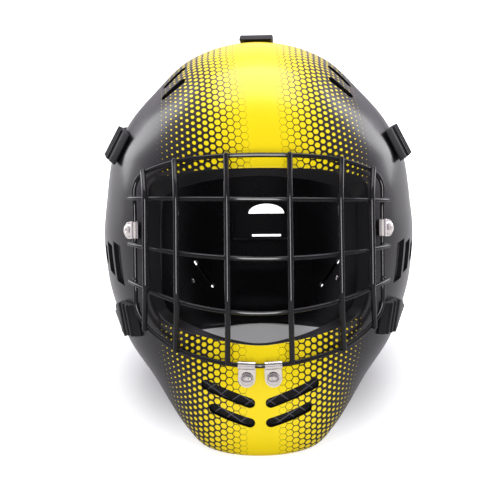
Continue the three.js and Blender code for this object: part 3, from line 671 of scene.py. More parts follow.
length = add_node(tree, "ShaderNodeUVMap", uv_map="UVMap")[0]
half_lattice = tuple(step / 2 for step in LATTICE)
back_half = tuple(-step / 2 for step in LATTICE)
wrap = {1: half_lattice, 2: back_half}  # the third length is zero, and stays so
first = add_node(tree, VECTOR, {0: length, **wrap}, operation="WRAP")[0]
moved = add_node(tree, VECTOR, {0: length, 1: half_lattice}, operation="SUBTRACT")[0]
second = add_node(tree, VECTOR, {0: moved, **wrap}, operation="WRAP")[0]
far_first = add_node(tree, VECTOR, {0: first}, operation="LENGTH")["Value"]
far_second = add_node(tree, VECTOR, {0: second}, operation="LENGTH")["Value"]
nearer = add_node(tree, MATH, {0: far_second, 1: far_first}, operation="LESS_THAN")[0]
inward = add_node(tree, "ShaderNodeMix", {0: nearer, 4: first, 5: second},
                  data_type="VECTOR")[1]

# The hexagon's own distance is the larger of its two edge directions.
folded = add_node(tree, VECTOR, {0: inward}, operation="ABSOLUTE")[0]
sides_of = add_node(tree, "ShaderNodeSeparateXYZ", {0: folded})
half_side = add_node(tree, MATH, {0: sides_of["Y"], 1: 0.5}, operation="MULTIPLY")[0]
slanted = add_node(tree, MATH, {0: sides_of["X"], 1: math.sqrt(0.75), 2: half_side},
                   operation="MULTIPLY_ADD")[0]
hexagon = add_node(tree, MATH, {0: sides_of["Y"], 1: slanted}, operation="MAXIMUM")[0]
circle = add_node(tree, VECTOR, {0: inward}, operation="LENGTH")["Value"]

cell = add_node(tree, VECTOR, {0: length, 1: inward}, operation="SUBTRACT")[0]
cell_across = add_node(tree, "ShaderNodeSeparateXYZ", {0: cell})["X"]
from_band = add_node(tree, MATH, {0: cell_across}, operation="ABSOLUTE")[0]
roundness = add_node(tree, "ShaderNodeMapRange", {0: from_band, 1: ROUND_FROM, 2: ROUND_TO})[0]
outward = add_node(tree, "ShaderNodeMix", {0: roundness, 2: hexagon, 3: circle})[0]

share = add_node(tree, MATH, {0: from_band, 1: FADE_END}, operation="DIVIDE")[0]
fill = add_node(tree, "ShaderNodeValToRGB", {0: share})
ramp = fill[0].node.color_ramp
while len(ramp.elements) < len(CELL_FILL):
    ramp.elements.new(0.5)
for element, (distance, filled) in zip(ramp.elements, CELL_FILL):
    element.position = distance * MM / FADE_END
    element.color = (*[filled * MM / FILL_SCALE] * 3, 1)
filled_to = add_node(tree, MATH, {0: fill[0], 1: FILL_SCALE}, operation="MULTIPLY")[0]
inside = add_node(tree, MATH, {0: filled_to, 1: outward}, operation="SUBTRACT")[0]
ink = add_node(tree, "ShaderNodeMapRange", {0: inside, 1: -FILM_EDGE, 2: FILM_EDGE})[0]
colour = add_node(tree, "ShaderNodeMix", {0: ink, 6: linear(PRINT_BLACK), 7: yellow},
                  data_type="RGBA")[2]
tree.links.new(colour, shader.inputs["Base Color"])
peel = add_node(tree, "ShaderNodeTexNoise", {"Vector": object_place, "Scale": 700, "Detail": 2})[0]
link_bump(tree, shader, peel, 0.12, 0.00008)

# %% [markdown]
# Where no film lies, the moulded ABS shows: on the lip, inside the shell, on the back
# plate and on the buckles. It is the same black, a little rougher, with the faint grain
# that a sparked mould leaves.

# %% Moulded black ABS
def moulded_plastic(name, colour, roughness, grain_scale, strength):
    made, tree, shader, place, _ = clouded_material(
        name, (colour, "#141315"), 25, gloss=(roughness - 0.05, roughness + 0.05),
        Roughness=roughness, Specular_IOR_Level=0.28)
    grain = add_node(tree, "ShaderNodeTexNoise", {"Vector": place, "Scale": grain_scale})[0]
    link_bump(tree, shader, grain, strength, 0.0001)
    return made


satin_abs = moulded_plastic("satin_moulded_abs", "#0C0B0D", 0.36, 900, 0.15)
plate_abs = moulded_plastic("smooth_moulded_abs", "#0A090B", 0.27, 600, 0.06)
nylon = moulded_plastic("matte_moulded_nylon", "#0D0C0E", 0.5, 1500, 0.3)

# %% [markdown]
# The vents are routed with round ends. A cutter starts as a cylinder turned so that no
# point lies on its middle, and its two halves are pulled apart, which leaves straight
# sides between round ends.

# %% Shell with its vents
SLOTS = [
    # the middles of the two ends in a front view, and the width
    ((67.5, 125), (56, 136), 7.5),
    ((68, 116), (56, 126), 7.5),
    ((7.8, -104.5), (38.8, -91.8), 7.6),
    ((7.8, -119.8), (33.5, -109.6), 7.6),
]
SIDE_SLOTS = [(-23, 8, -9), (-37, 9, -17), (-50.5, 9, -24)]
SIDE_SLOT_WIDTH, SIDE_SLOT_SLANT = 10.5, 3.5
SIDE_SLOT_FROM, SIDE_SLOT_TO = 88, 132  # how far from the middle plane the cutters reach


def basis(x_axis, y_axis, z_axis, place):
    """A matrix whose axes are unit directions and whose origin is a place."""
    turn = Matrix([Vector(axis).normalized() for axis in (x_axis, y_axis, z_axis)]).transposed()
    return Matrix.Translation(Vector(place)) @ turn.to_4x4()


def slot_cutter(start, end, width, depth=24):
    """A cutter with round ends between two points of the form."""
    middle = nearest((start + end) / 2)[0]
    out = normals_at(middle)[0]
    along = end - start
    along = along - out * (along @ out)
    half = np.linalg.norm(along) / 2
    count = 32
    bpy.ops.mesh.primitive_cylinder_add(vertices=count, radius=width / 2, depth=depth)
    cutter = bpy.context.object
    cutter.data.transform(Matrix.Rotation(math.pi / count, 4, "Z"))
    for vertex in cutter.data.vertices:
        vertex.co.x += math.copysign(half, vertex.co.x)
    cutter.data.transform(basis(along, np.cross(out, along), out, middle))
    return cutter


def side_cutter(middle, top, bottom, side):
    """A straight cutter whose front upper and rear lower corners are cut short."""
    bpy.ops.mesh.primitive_cube_add(size=2)
    cutter = bpy.context.object
    for vertex in cutter.data.vertices:
        x, y, z = vertex.co
        reached = SIDE_SLOT_TO if x > 0 else SIDE_SLOT_FROM
        slant = SIDE_SLOT_SLANT if (y < 0) == (z > 0) else 0
        height = top - slant if z > 0 else bottom + slant
        vertex.co = (reached * side, middle + SIDE_SLOT_WIDTH / 2 * y, height)
    return cutter


def cut(piece, cutters, material_index=1, crossed=False):
    """Cuts the cutters, which may cross each other, out of a piece and removes them."""
    for cutter in cutters:
        face_out(cutter)
        while len(cutter.data.materials) <= material_index:
            cutter.data.materials.append(piece.data.materials[len(cutter.data.materials)])
        for polygon in cutter.data.polygons:
            polygon.material_index = material_index
    select_only(cutters[0])
    for cutter in cutters:
        cutter.select_set(True)
    if len(cutters) > 1:
        bpy.ops.object.join()
    tool = bpy.context.object
    difference = piece.modifiers.new("cut", "BOOLEAN")
    difference.object = tool
    difference.solver = "EXACT"
    difference.use_self = crossed
    select_only(piece)
    bpy.ops.object.modifier_apply(modifier=difference.name)
    bpy.data.objects.remove(tool)


def rest_cutter():
    """Everything under the plane on which the mask rests."""
    size = 600
    bpy.ops.mesh.primitive_cube_add(size=size)
    below = bpy.context.object
    rest_plane = Matrix.Translation((0, *CHIN_REST)) @ Matrix.Rotation(TILT, 4, "X")
    below.data.transform(rest_plane @ Matrix.Translation((0, 0, -size / 2)))
    return below


shell = shaped_sheet("shell", surface, lengths=printed * MM, closed=True,
                     materials=[film, satin_abs], second_below=LIP_ROWS + FOLD_ROWS / 2)
face_out(shell)
thicken(shell, WALL, material_offset=1)
soften_edges(shell, 0.9, segments=3, degrees=60)
cutters = []
for side in (-1, 1):
    flip = np.array([side, 1, 1])
    for first_end, second_end, width in SLOTS:
        ends = [seen_from(FRONT, *end)[0] * flip for end in (first_end, second_end)]
        cutters.append(slot_cutter(*ends, width))
    cutters += [side_cutter(*slot, side) for slot in SIDE_SLOTS]
cut(shell, cutters)
cut(shell, [rest_cutter()])
finish_piece(shell, "front_shell", smooth=35)
print("shell", len(shell.data.polygons), "faces")

# %% [markdown]
# The cage is drawn steel wire, bent over a form, welded at its crossings and powder coated
# in gloss black. The coat is thick and smooth, so it mirrors the window in narrow streaks,
# and only a slight waviness shows where it flowed before it set.

# %% Powder-coated steel wire
coated_wire, tree, shader, place, _ = clouded_material(
    "gloss_powder_coated_steel", ("#060606", "#0D0C0E"), 40, gloss=(0.09, 0.14),
    Roughness=0.12, Specular_IOR_Level=0.25)
flow = add_node(tree, "ShaderNodeTexNoise", {"Vector": place, "Scale": 350, "Detail": 1})[0]
link_bump(tree, shader, flow, 0.05, 0.0002)

# %% [markdown]
# The ring lies a few millimetres over the shell, the three cross wires bow out in front of
# the face, and the six uprights lie over the cross wires and turn back at a kink to the
# ring. Each is a smooth curve through a few named places.

# %% Routes of the wires
RING_WIRE, CROSS_WIRE, UPRIGHT_WIRE = 1.7, 1.6, 2.0
WELD = 0.85  # share of two radii that lies between two welded wires
RING_LIFT = 4.6
RING = np.array([
    (0, 70.5), (30, 69.8), (57, 67), (78, 61), (86.5, 56), (90, 49), (90, 30), (90, 3),
    (90, -25), (89.5, -40), (82.5, -52.5), (71, -62), (59, -68.7), (42, -73.6), (22, -77.7),
    (0, -79.2),
])
UPRIGHTS = (22.2, 58.5, 81.4)
BOWS = [
    # the end's and the middle's height, the front, how much the right end is higher, wire
    (39, 39, -124, -1.6, True),
    (6, -2.7, -130.6, -1.6, True),
    (-18, -30.5, -135, -0.6, False),
    (-19.8, -41, -131, -0.3, True),
]
BOW_REACH, BOW_SPAN, BOW_POWER = 94, 100, 2.1


def through(points, per_span=12):
    """A centripetal Catmull-Rom curve through the points."""
    points = rows_of(points)
    ends = [2 * points[0] - points[1]], [2 * points[-1] - points[-2]]
    guide = np.concatenate([ends[0], points, ends[1]])
    knots = np.concatenate([[0], np.linalg.norm(np.diff(guide, axis=0), axis=1)**0.5]).cumsum()
    curve = []
    for i in range(1, len(guide) - 2):
        t0, t1, t2, t3 = knots[i - 1 : i + 3]
        t = np.linspace(t1, t2, per_span, endpoint=False)[:, None]
        p0, p1, p2, p3 = guide[i - 1 : i + 3]
        a1 = (t1 - t) / (t1 - t0) * p0 + (t - t0) / (t1 - t0) * p1
        a2 = (t2 - t) / (t2 - t1) * p1 + (t - t1) / (t2 - t1) * p2
        a3 = (t3 - t) / (t3 - t2) * p2 + (t - t2) / (t3 - t2) * p3
        b1 = (t2 - t) / (t2 - t0) * a1 + (t - t0) / (t2 - t0) * a2
        b2 = (t3 - t) / (t3 - t1) * a2 + (t - t1) / (t3 - t1) * a3
        curve.append((t2 - t) / (t2 - t1) * b1 + (t - t1) / (t2 - t1) * b2)
    return np.concatenate([*curve, points[-1:]])


ring_half = seen_from(FRONT, RING[:, 0], RING[:, 1])
ring_half[:, 1] += RING_LIFT / normals_at(ring_half)[:, 1]
ring_half = through(ring_half, 16)


def ring_at(axis, value, from_top=True):
    """The ring's middle and direction where x or z has a value."""
    points = ring_half if from_top else ring_half[::-1]
    passed = points[:, 0] >= value if axis == "x" else points[:, 2] <= value
    i = max(int(np.argmax(passed)), 1)
    share = (value - points[i - 1]["xyz".index(axis)]) / (
        points[i]["xyz".index(axis)] - points[i - 1]["xyz".index(axis)])
    point = points[i - 1] + (points[i] - points[i - 1]) * share
    return point, unit(points[i] - points[i - 1])


def bow_share(x):
    return (1 - (np.abs(x) / BOW_SPAN) ** BOW_POWER) ** (1 / BOW_POWER)


def bow_points(bow, x):
    end_z, middle_z, front, skew, _ = bow
    end = lifted(ring_at("z", end_z)[0], (RING_WIRE + CROSS_WIRE) * WELD)[0]
    ends = bow_share(BOW_REACH)
    base = (end[1] - front * ends) / (1 - ends)
    share = np.atleast_1d(x) / BOW_REACH
    height = middle_z + (end_z - middle_z) * share**2 + skew * share
    return np.stack([share * BOW_REACH, base + (front - base) * bow_share(share * BOW_REACH),
                     height], axis=1)


def upright_points(x):
    points = []
    for from_top in (True, False):
        tie = ring_at("x", abs(x), from_top)[0]
        tie = lifted(tie, (RING_WIRE + UPRIGHT_WIRE) * WELD)[0]
        points.append(tie * [math.copysign(1, x), 1, 1])
    ahead = [bow_points(bow, x)[0] - [0, (CROSS_WIRE + UPRIGHT_WIRE) * WELD, 0] for bow in BOWS]
    return through([points[0], *ahead, points[1]])


# %% [markdown]
# A curve with a bevel depth is the quickest round wire. It is turned into a mesh at once,
# because the wires are joined into one welded cage. Each crossing gets a small flattened
# bead of weld metal, and each free end a rounded tip, under the same coat.

# %% Cage
def wire(points, radius, closed=False):
    curve = bpy.data.curves.new("wire", "CURVE")
    curve.dimensions = "3D"
    curve.bevel_depth = radius
    curve.bevel_resolution = 4
    curve.use_fill_caps = not closed
    spline = curve.splines.new("POLY")
    spline.points.add(len(points) - 1)
    spline.points.foreach_set("co", np.column_stack([points, np.ones(len(points))]).ravel())
    spline.use_cyclic_u = closed
    made = bpy.data.objects.new("wire", curve)
    bpy.context.collection.objects.link(made)
    select_only(made)
    bpy.ops.object.convert(target="MESH")
    return bpy.context.object


def bead(place, radius, squash=1.0):
    """A small ball, flattened from front to back."""
    bpy.ops.mesh.primitive_uv_sphere_add(segments=14, ring_count=9, radius=radius)
    made = bpy.context.object
    flat = Matrix.Diagonal((1, 1, squash, 1))
    made.data.transform(
        Matrix.Translation(Vector(place)) @ Matrix.Rotation(math.pi / 2, 4, "X") @ flat)
    return made


# Weld beads: the radius by the wire's, and the flatness.
TOUCH_BEAD, CROSSING_BEAD = (1.5, 0.9), (1.45, 0.7)
TOUCH_AT, CROSSING_FRONT, TIP_BEAD = 0.96, 0.9, 1.02

other_half = ring_half[-2:0:-1] * [-1, 1, 1]
wires = [wire(np.concatenate([ring_half, other_half]), RING_WIRE, closed=True)]
bow_x = BOW_REACH * np.sin(np.linspace(-1, 1, 61) * math.pi / 2)
for bow in BOWS:
    if bow[-1]:
        points = bow_points(bow, bow_x)
        wires.append(wire(points, CROSS_WIRE))
        wires += [bead(points[i], CROSS_WIRE) for i in (0, -1)]
        for side in (0, -1):
            touch = points[side] * [TOUCH_AT, 1, 1]
            wires.append(bead(touch, CROSS_WIRE * TOUCH_BEAD[0], TOUCH_BEAD[1]))
        for x in UPRIGHTS:
            for crossing in bow_points(bow, [-x, x]) - [0, CROSS_WIRE * CROSSING_FRONT, 0]:
                wires.append(bead(crossing, CROSS_WIRE * CROSSING_BEAD[0], CROSSING_BEAD[1]))
for x in UPRIGHTS:
    for signed in (-x, x):
        points = upright_points(signed)
        wires.append(wire(points, UPRIGHT_WIRE))
        wires += [bead(points[i], UPRIGHT_WIRE * TIP_BEAD) for i in (0, -1)]
select_only(wires[0])
for piece in wires:
    piece.select_set(True)
bpy.ops.object.join()
cage = bpy.context.object
cage.name = "cage"
cage.data.materials.append(coated_wire)
finish_piece(cage, "wire_cage", smooth=60)

# The window lights the cage alone, so that it leaves no glare on the front of the shell.
lit_by_window = bpy.data.collections.new("lit_by_window")
lit_by_window.objects.link(cage)
window.light_linking.receiver_collection = lit_by_window
print("cage", len(cage.data.polygons), "faces")

# %% [markdown]
# The clips are strips of plated spring steel, rolled round the ring and screwed to the
# shell. A strip is a flat sheet first: it is shaped along its length, from the round end
# of its tab to the end of its roll, and then given the thickness of the metal. One clip is
# modelled and copied to the four places, and so is its screw.
# The shell made above has no bores for them, so the shanks run through its wall, out of sight
# under the heads.

# %% Bright zinc on steel
zinc, tree, shader, place, _ = clouded_material(
    "bright_zinc_plated_steel", ("#DDD7D2", "#F2EDE8"), 160, detail=4, gloss=(0.12, 0.24),
    Metallic=1.0, Roughness=0.22)
flakes = add_node(tree, "ShaderNodeTexNoise", {"Vector": place, "Scale": 160, "Detail": 4})[0]
link_bump(tree, shader, flakes, 0.03, 0.0002)

# %% Clips and screws
CLIP_WIDTH, CLIP_SHEET, SCREW_AT = 12.4, 1.2, 9.6
SLEEVE = RING_WIRE + GAP + CLIP_SHEET / 2  # radius to the middle of the rolled sheet
ROLL_TURN = 1.4 * math.pi
SCREW_HEAD, SCREW_SHANK, SCREW_RIM, SCREW_DOME, SCREW_LENGTH = 4.9, 2.1, 0.5, 2.1, 5.4
CROSS_WIDTH, CROSS_DEPTH = 1.1, 1.2
CHIN_CLIP_X, SIDE_CLIP_Z = 9.3, 17.5


def clip_frame(point, direction, side):
    """X along the wire, Y towards the screw, Z out of the shell."""
    flip = np.array([side, 1, 1])
    ring, along_wire = point * flip, direction * flip
    foot = nearest(lifted(ring, -RING_LIFT))[0]
    to_screw = np.cross(normals_at(foot)[0], along_wire)
    if to_screw @ (foot * [1, 0, 1]) < 0:
        to_screw = -to_screw
    seat = nearest(foot + to_screw * SCREW_AT)[0]
    out = normals_at(seat)[0]
    across = unit(to_screw - out * (to_screw @ out))
    return basis(np.cross(across, out), across, out, ring)


def clip_sheet():
    half, tip = CLIP_WIDTH / 2, SCREW_AT + CLIP_WIDTH / 2
    tab_y = tip - tip * np.linspace(0, 1, 22) ** 1.4
    beyond = np.maximum(tab_y - SCREW_AT, 0) / half
    narrow = np.sqrt(np.maximum(1 - beyond**2, 0.0004))
    turn = -math.pi / 2 - np.linspace(0, ROLL_TURN, 26)[1:]
    y = np.concatenate([tab_y, SLEEVE * np.cos(turn)])
    z = np.concatenate([np.full(len(tab_y), -SLEEVE), SLEEVE * np.sin(turn)])
    width = half * np.concatenate([narrow, np.ones(len(turn))])
    x = width[:, None] * np.linspace(-1, 1, 15)
    return np.stack([x, np.broadcast_to(y[:, None], x.shape),
                     np.broadcast_to(z[:, None], x.shape)], axis=2)


def turned_piece(name, profile, steps=36):
    """A profile of radii and heights spun round the Z axis."""
    links = [(i, i + 1) for i in range(len(profile) - 1)]
    made = mesh_object(name, [(r, 0, z) for r, z in profile], links, [])
    in_edit_mode(made, bpy.ops.mesh.spin, steps=steps, angle=2 * math.pi,
                 center=(0, 0, 0), axis=(0, 0, 1))
    in_edit_mode(made, bpy.ops.mesh.remove_doubles, threshold=0.001)
    face_out(made)
    return made


def dome(radius, foot, top, steps):
    """The profile of a domed head, from its rim to its middle."""
    turns = np.linspace(0, math.pi / 2, steps)[:-1]
    rise = [(radius * math.cos(a), foot + (top - foot) * math.sin(a)) for a in turns]
    return [*rise, (0, top)]


clip = shaped_sheet("clip", clip_sheet(), materials=[zinc])
thicken(clip, CLIP_SHEET, offset=0)
face_out(clip)
bpy.ops.mesh.primitive_cylinder_add(vertices=32, radius=SCREW_SHANK + GAP, depth=8)
hole = bpy.context.object
hole.data.transform(Matrix.Translation((0, SCREW_AT, -SLEEVE)))
cut(clip, [hole], material_index=0)
soften_edges(clip, 0.25, segments=2, degrees=50)

seat = -SLEEVE + CLIP_SHEET / 2 + GAP
top_of_dome = seat + SCREW_RIM + SCREW_DOME
screw = turned_piece("screw", [
    (0, seat - SCREW_LENGTH), (SCREW_SHANK, seat - SCREW_LENGTH), (SCREW_SHANK, seat),
    (SCREW_HEAD, seat), *dome(SCREW_HEAD, seat + SCREW_RIM, top_of_dome, 10),
])
screw.data.materials.append(zinc)
crosses = []
for turn in (0, math.pi / 2):
    bpy.ops.mesh.primitive_cube_add(size=2)
    arm = bpy.context.object
    arm.data.transform(Matrix.Diagonal((SCREW_HEAD * 0.55, CROSS_WIDTH / 2, CROSS_DEPTH, 1)))
    for vertex in arm.data.vertices:
        if vertex.co.z < 0:
            vertex.co.x *= 0.45
    arm.data.transform(Matrix.Translation((0, 0, top_of_dome)) @ Matrix.Rotation(turn, 4, "Z"))
    crosses.append(arm)
cut(screw, crosses, material_index=0, crossed=True)
soften_edges(screw, 0.15, segments=2, degrees=35)
screw.data.transform(Matrix.Translation((0, SCREW_AT, 0)))


def copy_of(piece, name):
    made = piece.copy()
    made.data = piece.data.copy()
    made.name = name
    bpy.context.collection.objects.link(made)
    return made


lit_by_clip_panel = bpy.data.collections.new("lit_by_clip_panel")
clip_panel.light_linking.receiver_collection = lit_by_clip_panel
for side, word in ((-1, "left"), (1, "right")):
    places = {"chin": ring_at("x", CHIN_CLIP_X, from_top=False), "side": ring_at("z", SIDE_CLIP_Z)}
    for where, (point, direction) in places.items():
        seat_frame = clip_frame(point, direction, side)
        for model, kind in ((clip, "clip"), (screw, "screw")):
            made = copy_of(model, f"{where}_{kind}_metal_{word}")
            made.data.transform(seat_frame)
            finish_piece(made, f"{where}_{kind}_{word}")
            lit_by_clip_panel.objects.link(made)
for model in (clip, screw):
    bpy.data.objects.remove(model)
print("clips and screws placed")

# %% [markdown]
# The back plate is moulded in the same way, in one even wall that follows the form. It
# starts as a square grid that is drawn in to a rounded outline, so that it has no pole in
# its middle. A shallow panel is pressed into it round the half-moon opening, its lower edge
# is arched over the neck, and a slot is left on each side, which the strap outside it darkens.

# %% Back plate
PLATE_HALF_WIDTH, PLATE_BOTTOM, PLATE_TOP = 88, -75, 88
PLATE_ARCH, PLATE_GRID = 11, 161
SQUARE_ABOVE, SQUARE_BELOW = 3.2, 5
PANEL_MIDDLE, PANEL_HALF, PANEL_DEPTH, PANEL_SLOPE = (2.6, 20.4), (23.5, 14), 1.3, 3.2
MOON_HALF_WIDTH, MOON_BOTTOM, MOON_HEIGHT = 14.8, 27, 8
THIN_SLOT_SIZE, THIN_SLOT_Z = (12, 0.9), 8.8
STRAP_SLOT, STRAP_SLOT_WIDTH = ((46, -33), (60, -13)), 3


def rounded(u, v, squareness):
    """Draws a square of places from -1 to 1 in to a rounded outline."""
    larger = np.maximum(np.abs(u), np.abs(v))
    size = (np.abs(u) ** squareness + np.abs(v) ** squareness) ** (1 / squareness)
    return u * larger / np.maximum(size, 1e-9), v * larger / np.maximum(size, 1e-9)


def soft_step(start, end, value):
    share = np.clip((value - start) / (end - start), 0, 1)
    return share * share * (3 - 2 * share)


def prism(outline, width):
    """An outline of x and z, drawn out along y."""
    points = [(x, width / 2, z) for x, z in outline]
    made = mesh_object("prism", points, [], [range(len(points))])
    in_edit_mode(made, bpy.ops.mesh.extrude_region_move,
                 TRANSFORM_OT_translate={"value": (0, -width, 0)})
    face_out(made)
    return made


def moved_by(piece, offset):
    piece.data.transform(Matrix.Translation(offset))
    return piece


steps = np.linspace(-1, 1, PLATE_GRID)
u, v = np.meshgrid(-steps, steps)
p, q = rounded(u, v, np.where(v < 0, SQUARE_BELOW, SQUARE_ABOVE))
plate_x = ASIDE + p * PLATE_HALF_WIDTH
plate_z = (PLATE_TOP + PLATE_BOTTOM) / 2 + q * (PLATE_TOP - PLATE_BOTTOM) / 2
plate_z = plate_z + np.where(q < 0, PLATE_ARCH * (1 - p * p) * q * q, 0)
beyond = [
    np.maximum(np.abs(value - middle) - half, 0)
    for value, middle, half in zip((plate_x, plate_z), PANEL_MIDDLE, PANEL_HALF)
]
pressed = PANEL_DEPTH * soft_step(PANEL_SLOPE, 0, np.hypot(*beyond))
plate_points = seen_from(REAR, plate_x, plate_z)
plate_points = lifted(plate_points, pressed.ravel()).reshape(*plate_x.shape, 3)
plate = shaped_sheet("plate", plate_points, materials=[plate_abs])
thicken(plate, WALL)
soften_edges(plate, 1.1, segments=4, degrees=60)

behind, deep = 110, 80
arc = np.linspace(0, math.pi, 33)
moon = prism([(MOON_HALF_WIDTH * math.cos(a), MOON_HEIGHT * math.sin(a)) for a in arc], deep)
corners = [(-1, -1), (1, -1), (1, 1), (-1, 1)]
thin = prism([(THIN_SLOT_SIZE[0] * x, THIN_SLOT_SIZE[1] * z) for x, z in corners], deep)
cutters = [moved_by(moon, (ASIDE, behind, MOON_BOTTOM)),
           moved_by(thin, (ASIDE, behind, THIN_SLOT_Z))]
for side in (-1, 1):
    ends = [seen_from(REAR, ASIDE + x * side, z)[0] for x, z in STRAP_SLOT]
    cutters.append(slot_cutter(*ends, STRAP_SLOT_WIDTH))

# %% [markdown]
# Five elastic straps join the plate to the shell: one over the crown, two at the temples
# and two at the jaw. Each leaves a buckle on the shell, bends down on to the form, follows
# it, and ends under a rivet on the plate. A strap's run is worked out once, and its strap,
# its buckle, its rivet and the rivet's hole all take their places from it.

# %% Runs of the straps
STRAP_WIDTH, STRAP_THICKNESS, STRAP_OVERLAP = 21, 1.8, 38
STRAP_BEND = (12, 32)  # how far from the buckle a strap bends down on to the form
ARC = 1.12  # a run over the form, against the straight line between its ends
BUCKLE_WIDTH, BUCKLE_LENGTH, BUCKLE_HEIGHT = 24.6, 20, 5.8
BUCKLE_BASE, BUCKLE_END, BUCKLE_TOE = 1.4, 4, 1
RIDGES, RIDGE_HEIGHT = 3, 1.6
RIVET_HEAD, RIVET_SHANK, RIVET_RIM, RIVET_DOME, RIVET_TAIL = 4, 1.8, 0.3, 1.6, 1.6
STRAPS = [
    # name, sides, the wedge's length, the turn, and the places of the buckle and the rivet
    ("top", (0,), 7, 0, (0, 8, 158), (0, 118, 74)),
    ("upper", (-1, 1), 5, 0, (99.5, -31, 77), (62, 100, 56)),
    ("lower", (-1, 1), 0, 20, (91.5, -54, -47), (61, 103, -28)),
]


def strap_run(buckle, rivet, turn, side):
    """A strap's length, its frame at any share of it, and the frame of its buckle."""
    flip = np.array([side, 1, 1])
    start = unit(rows_of(np.array(buckle) * flip) - CENTRE)
    end = unit(rows_of(np.array(rivet) * flip + [ASIDE, 0, 0]) - CENTRE)

    def frame_at(shares):
        shares = np.reshape(shares, (-1, 1))
        points = reach(CENTRE, between(start, end, shares))
        ahead = reach(CENTRE, between(start, end, shares + 0.01))
        out = normals_at(points)
        along = ahead - points
        along = unit(along - out * np.sum(along * out, axis=1)[:, None])
        return points, along, np.cross(out, along), out

    point, along, across, out = [rows[0] for rows in frame_at(0)]
    angle = math.radians(turn * side)
    mouth = (point, along * math.cos(angle) + across * math.sin(angle),
             across * math.cos(angle) - along * math.sin(angle), out)
    length = np.linalg.norm(nearest(buckle) - nearest(rivet)) * ARC
    return length, frame_at, mouth


def run_matrix(frame_at, share):
    point, along, across, out = [rows[0] for rows in frame_at(share)]
    return basis(along, across, out, point)


def rivet_bore(frame_at):
    bpy.ops.mesh.primitive_cylinder_add(vertices=24, radius=RIVET_SHANK + 0.05, depth=20)
    hole = bpy.context.object
    hole.data.transform(run_matrix(frame_at, 1))
    return hole


SIDE_WORDS = {-1: "_left", 0: "", 1: "_right"}
runs = [
    (name, SIDE_WORDS[side], wedge, strap_run(buckle, rivet, turn, side))
    for name, sides, wedge, turn, buckle, rivet in STRAPS
    for side in sides
]
cutters += [rivet_bore(frame_at) for *_, (_, frame_at, _) in runs]
cut(plate, cutters, material_index=0)
cut(plate, [rest_cutter()], material_index=0)
finish_piece(plate, "back_plate", smooth=35)
print("back plate", len(plate.data.polygons), "faces")

# %% [markdown]
# The straps are woven elastic. Rubber cores run along the strap and raise it in narrow
# ribs, and the cover thread crosses each rib in short stitches that are half a stitch out
# from its neighbour's. The pattern follows the strap's own lengths, so it bends with it.

# %% Woven elastic
RIB, STITCH = 1.5 * MM, 1.1 * MM
elastic, tree, shader = new_material("woven_elastic", Roughness=0.85, Sheen_Weight=0.25)
uv = add_node(tree, "ShaderNodeUVMap", uv_map="UVMap")[0]
lengths_of = add_node(tree, "ShaderNodeSeparateXYZ", {0: uv})
rib_place = add_node(tree, MATH, {0: lengths_of["X"], 1: RIB}, operation="DIVIDE")[0]
rib_turn = add_node(tree, MATH, {0: rib_place, 1: math.pi}, operation="MULTIPLY")[0]
rib_wave = add_node(tree, MATH, {0: rib_turn}, operation="SINE")[0]
rib = add_node(tree, MATH, {0: rib_wave}, operation="ABSOLUTE")[0]
rib_number = add_node(tree, MATH, {0: rib_place}, operation="FLOOR")[0]
stitch_place = add_node(tree, MATH, {0: lengths_of["Y"], 1: STITCH}, operation="DIVIDE")[0]
stitch_moved = add_node(tree, MATH, {0: rib_number, 1: 0.5, 2: stitch_place},
                        operation="MULTIPLY_ADD")[0]
stitch_turn = add_node(tree, MATH, {0: stitch_moved, 1: 2 * math.pi}, operation="MULTIPLY")[0]
stitch = add_node(tree, MATH, {0: stitch_turn}, operation="SINE")[0]
weave = add_node(tree, MATH, {0: stitch, 1: 0.22, 2: rib}, operation="MULTIPLY_ADD")[0]
# The thread's tone follows the weave's height: it is darker in the grooves between ribs and
# stitches, a painted shade, and lighter on their tops, a painted highlight.
shade = add_node(tree, "ShaderNodeMapRange", {0: weave, 1: 0.1, 2: 1.1})[0]
thread = add_node(tree, "ShaderNodeMix",
                  {0: shade, 6: linear("#0B0B0C"), 7: linear("#1B1A1C")}, data_type="RGBA")[2]
tree.links.new(thread, shader.inputs["Base Color"])
link_bump(tree, shader, weave, 0.7, 0.0003)

# %% Straps
for name, side_word, _, (length, frame_at, mouth) in runs:
    distance = np.linspace(-BUCKLE_LENGTH / 8, length + STRAP_OVERLAP / 2, 170)
    points, along, across, out = frame_at(distance / length)
    down = soft_step(*STRAP_BEND, distance)[:, None]
    flat_point, flat_along, flat_across, flat_out = mouth
    straight = flat_point + distance[:, None] * flat_along + flat_out * (BUCKLE_BASE + 2 * GAP)
    middle = straight + (points + out * 2 * GAP - straight) * down
    across = unit(flat_across + (across - flat_across) * down)
    aside = np.linspace(STRAP_WIDTH / 2, -STRAP_WIDTH / 2, 13)
    band = middle[:, None] + across[:, None] * aside[:, None]
    band_lengths = np.stack(np.broadcast_arrays(aside, distance[:, None]), axis=2) * MM
    strap = shaped_sheet(f"{name}{side_word}_elastic", band, lengths=band_lengths,
                         materials=[elastic])
    thicken(strap, STRAP_THICKNESS, offset=1)
    soften_edges(strap, 0.6, segments=3, degrees=60)
    cut(strap, [rivet_bore(frame_at)], material_index=0)
    finish_piece(strap, f"{name}_strap{side_word}", smooth=50)
print("straps", len(runs))

# %% [markdown]
# A buckle is a block of nylon with a tunnel for the strap and ridges that give the thumb a
# hold. It is drawn in outline from the side, drawn out to its width and cut by the tunnel,
# and then its edges are rounded as a mould leaves them, which gives each ridge its thin
# bright line.

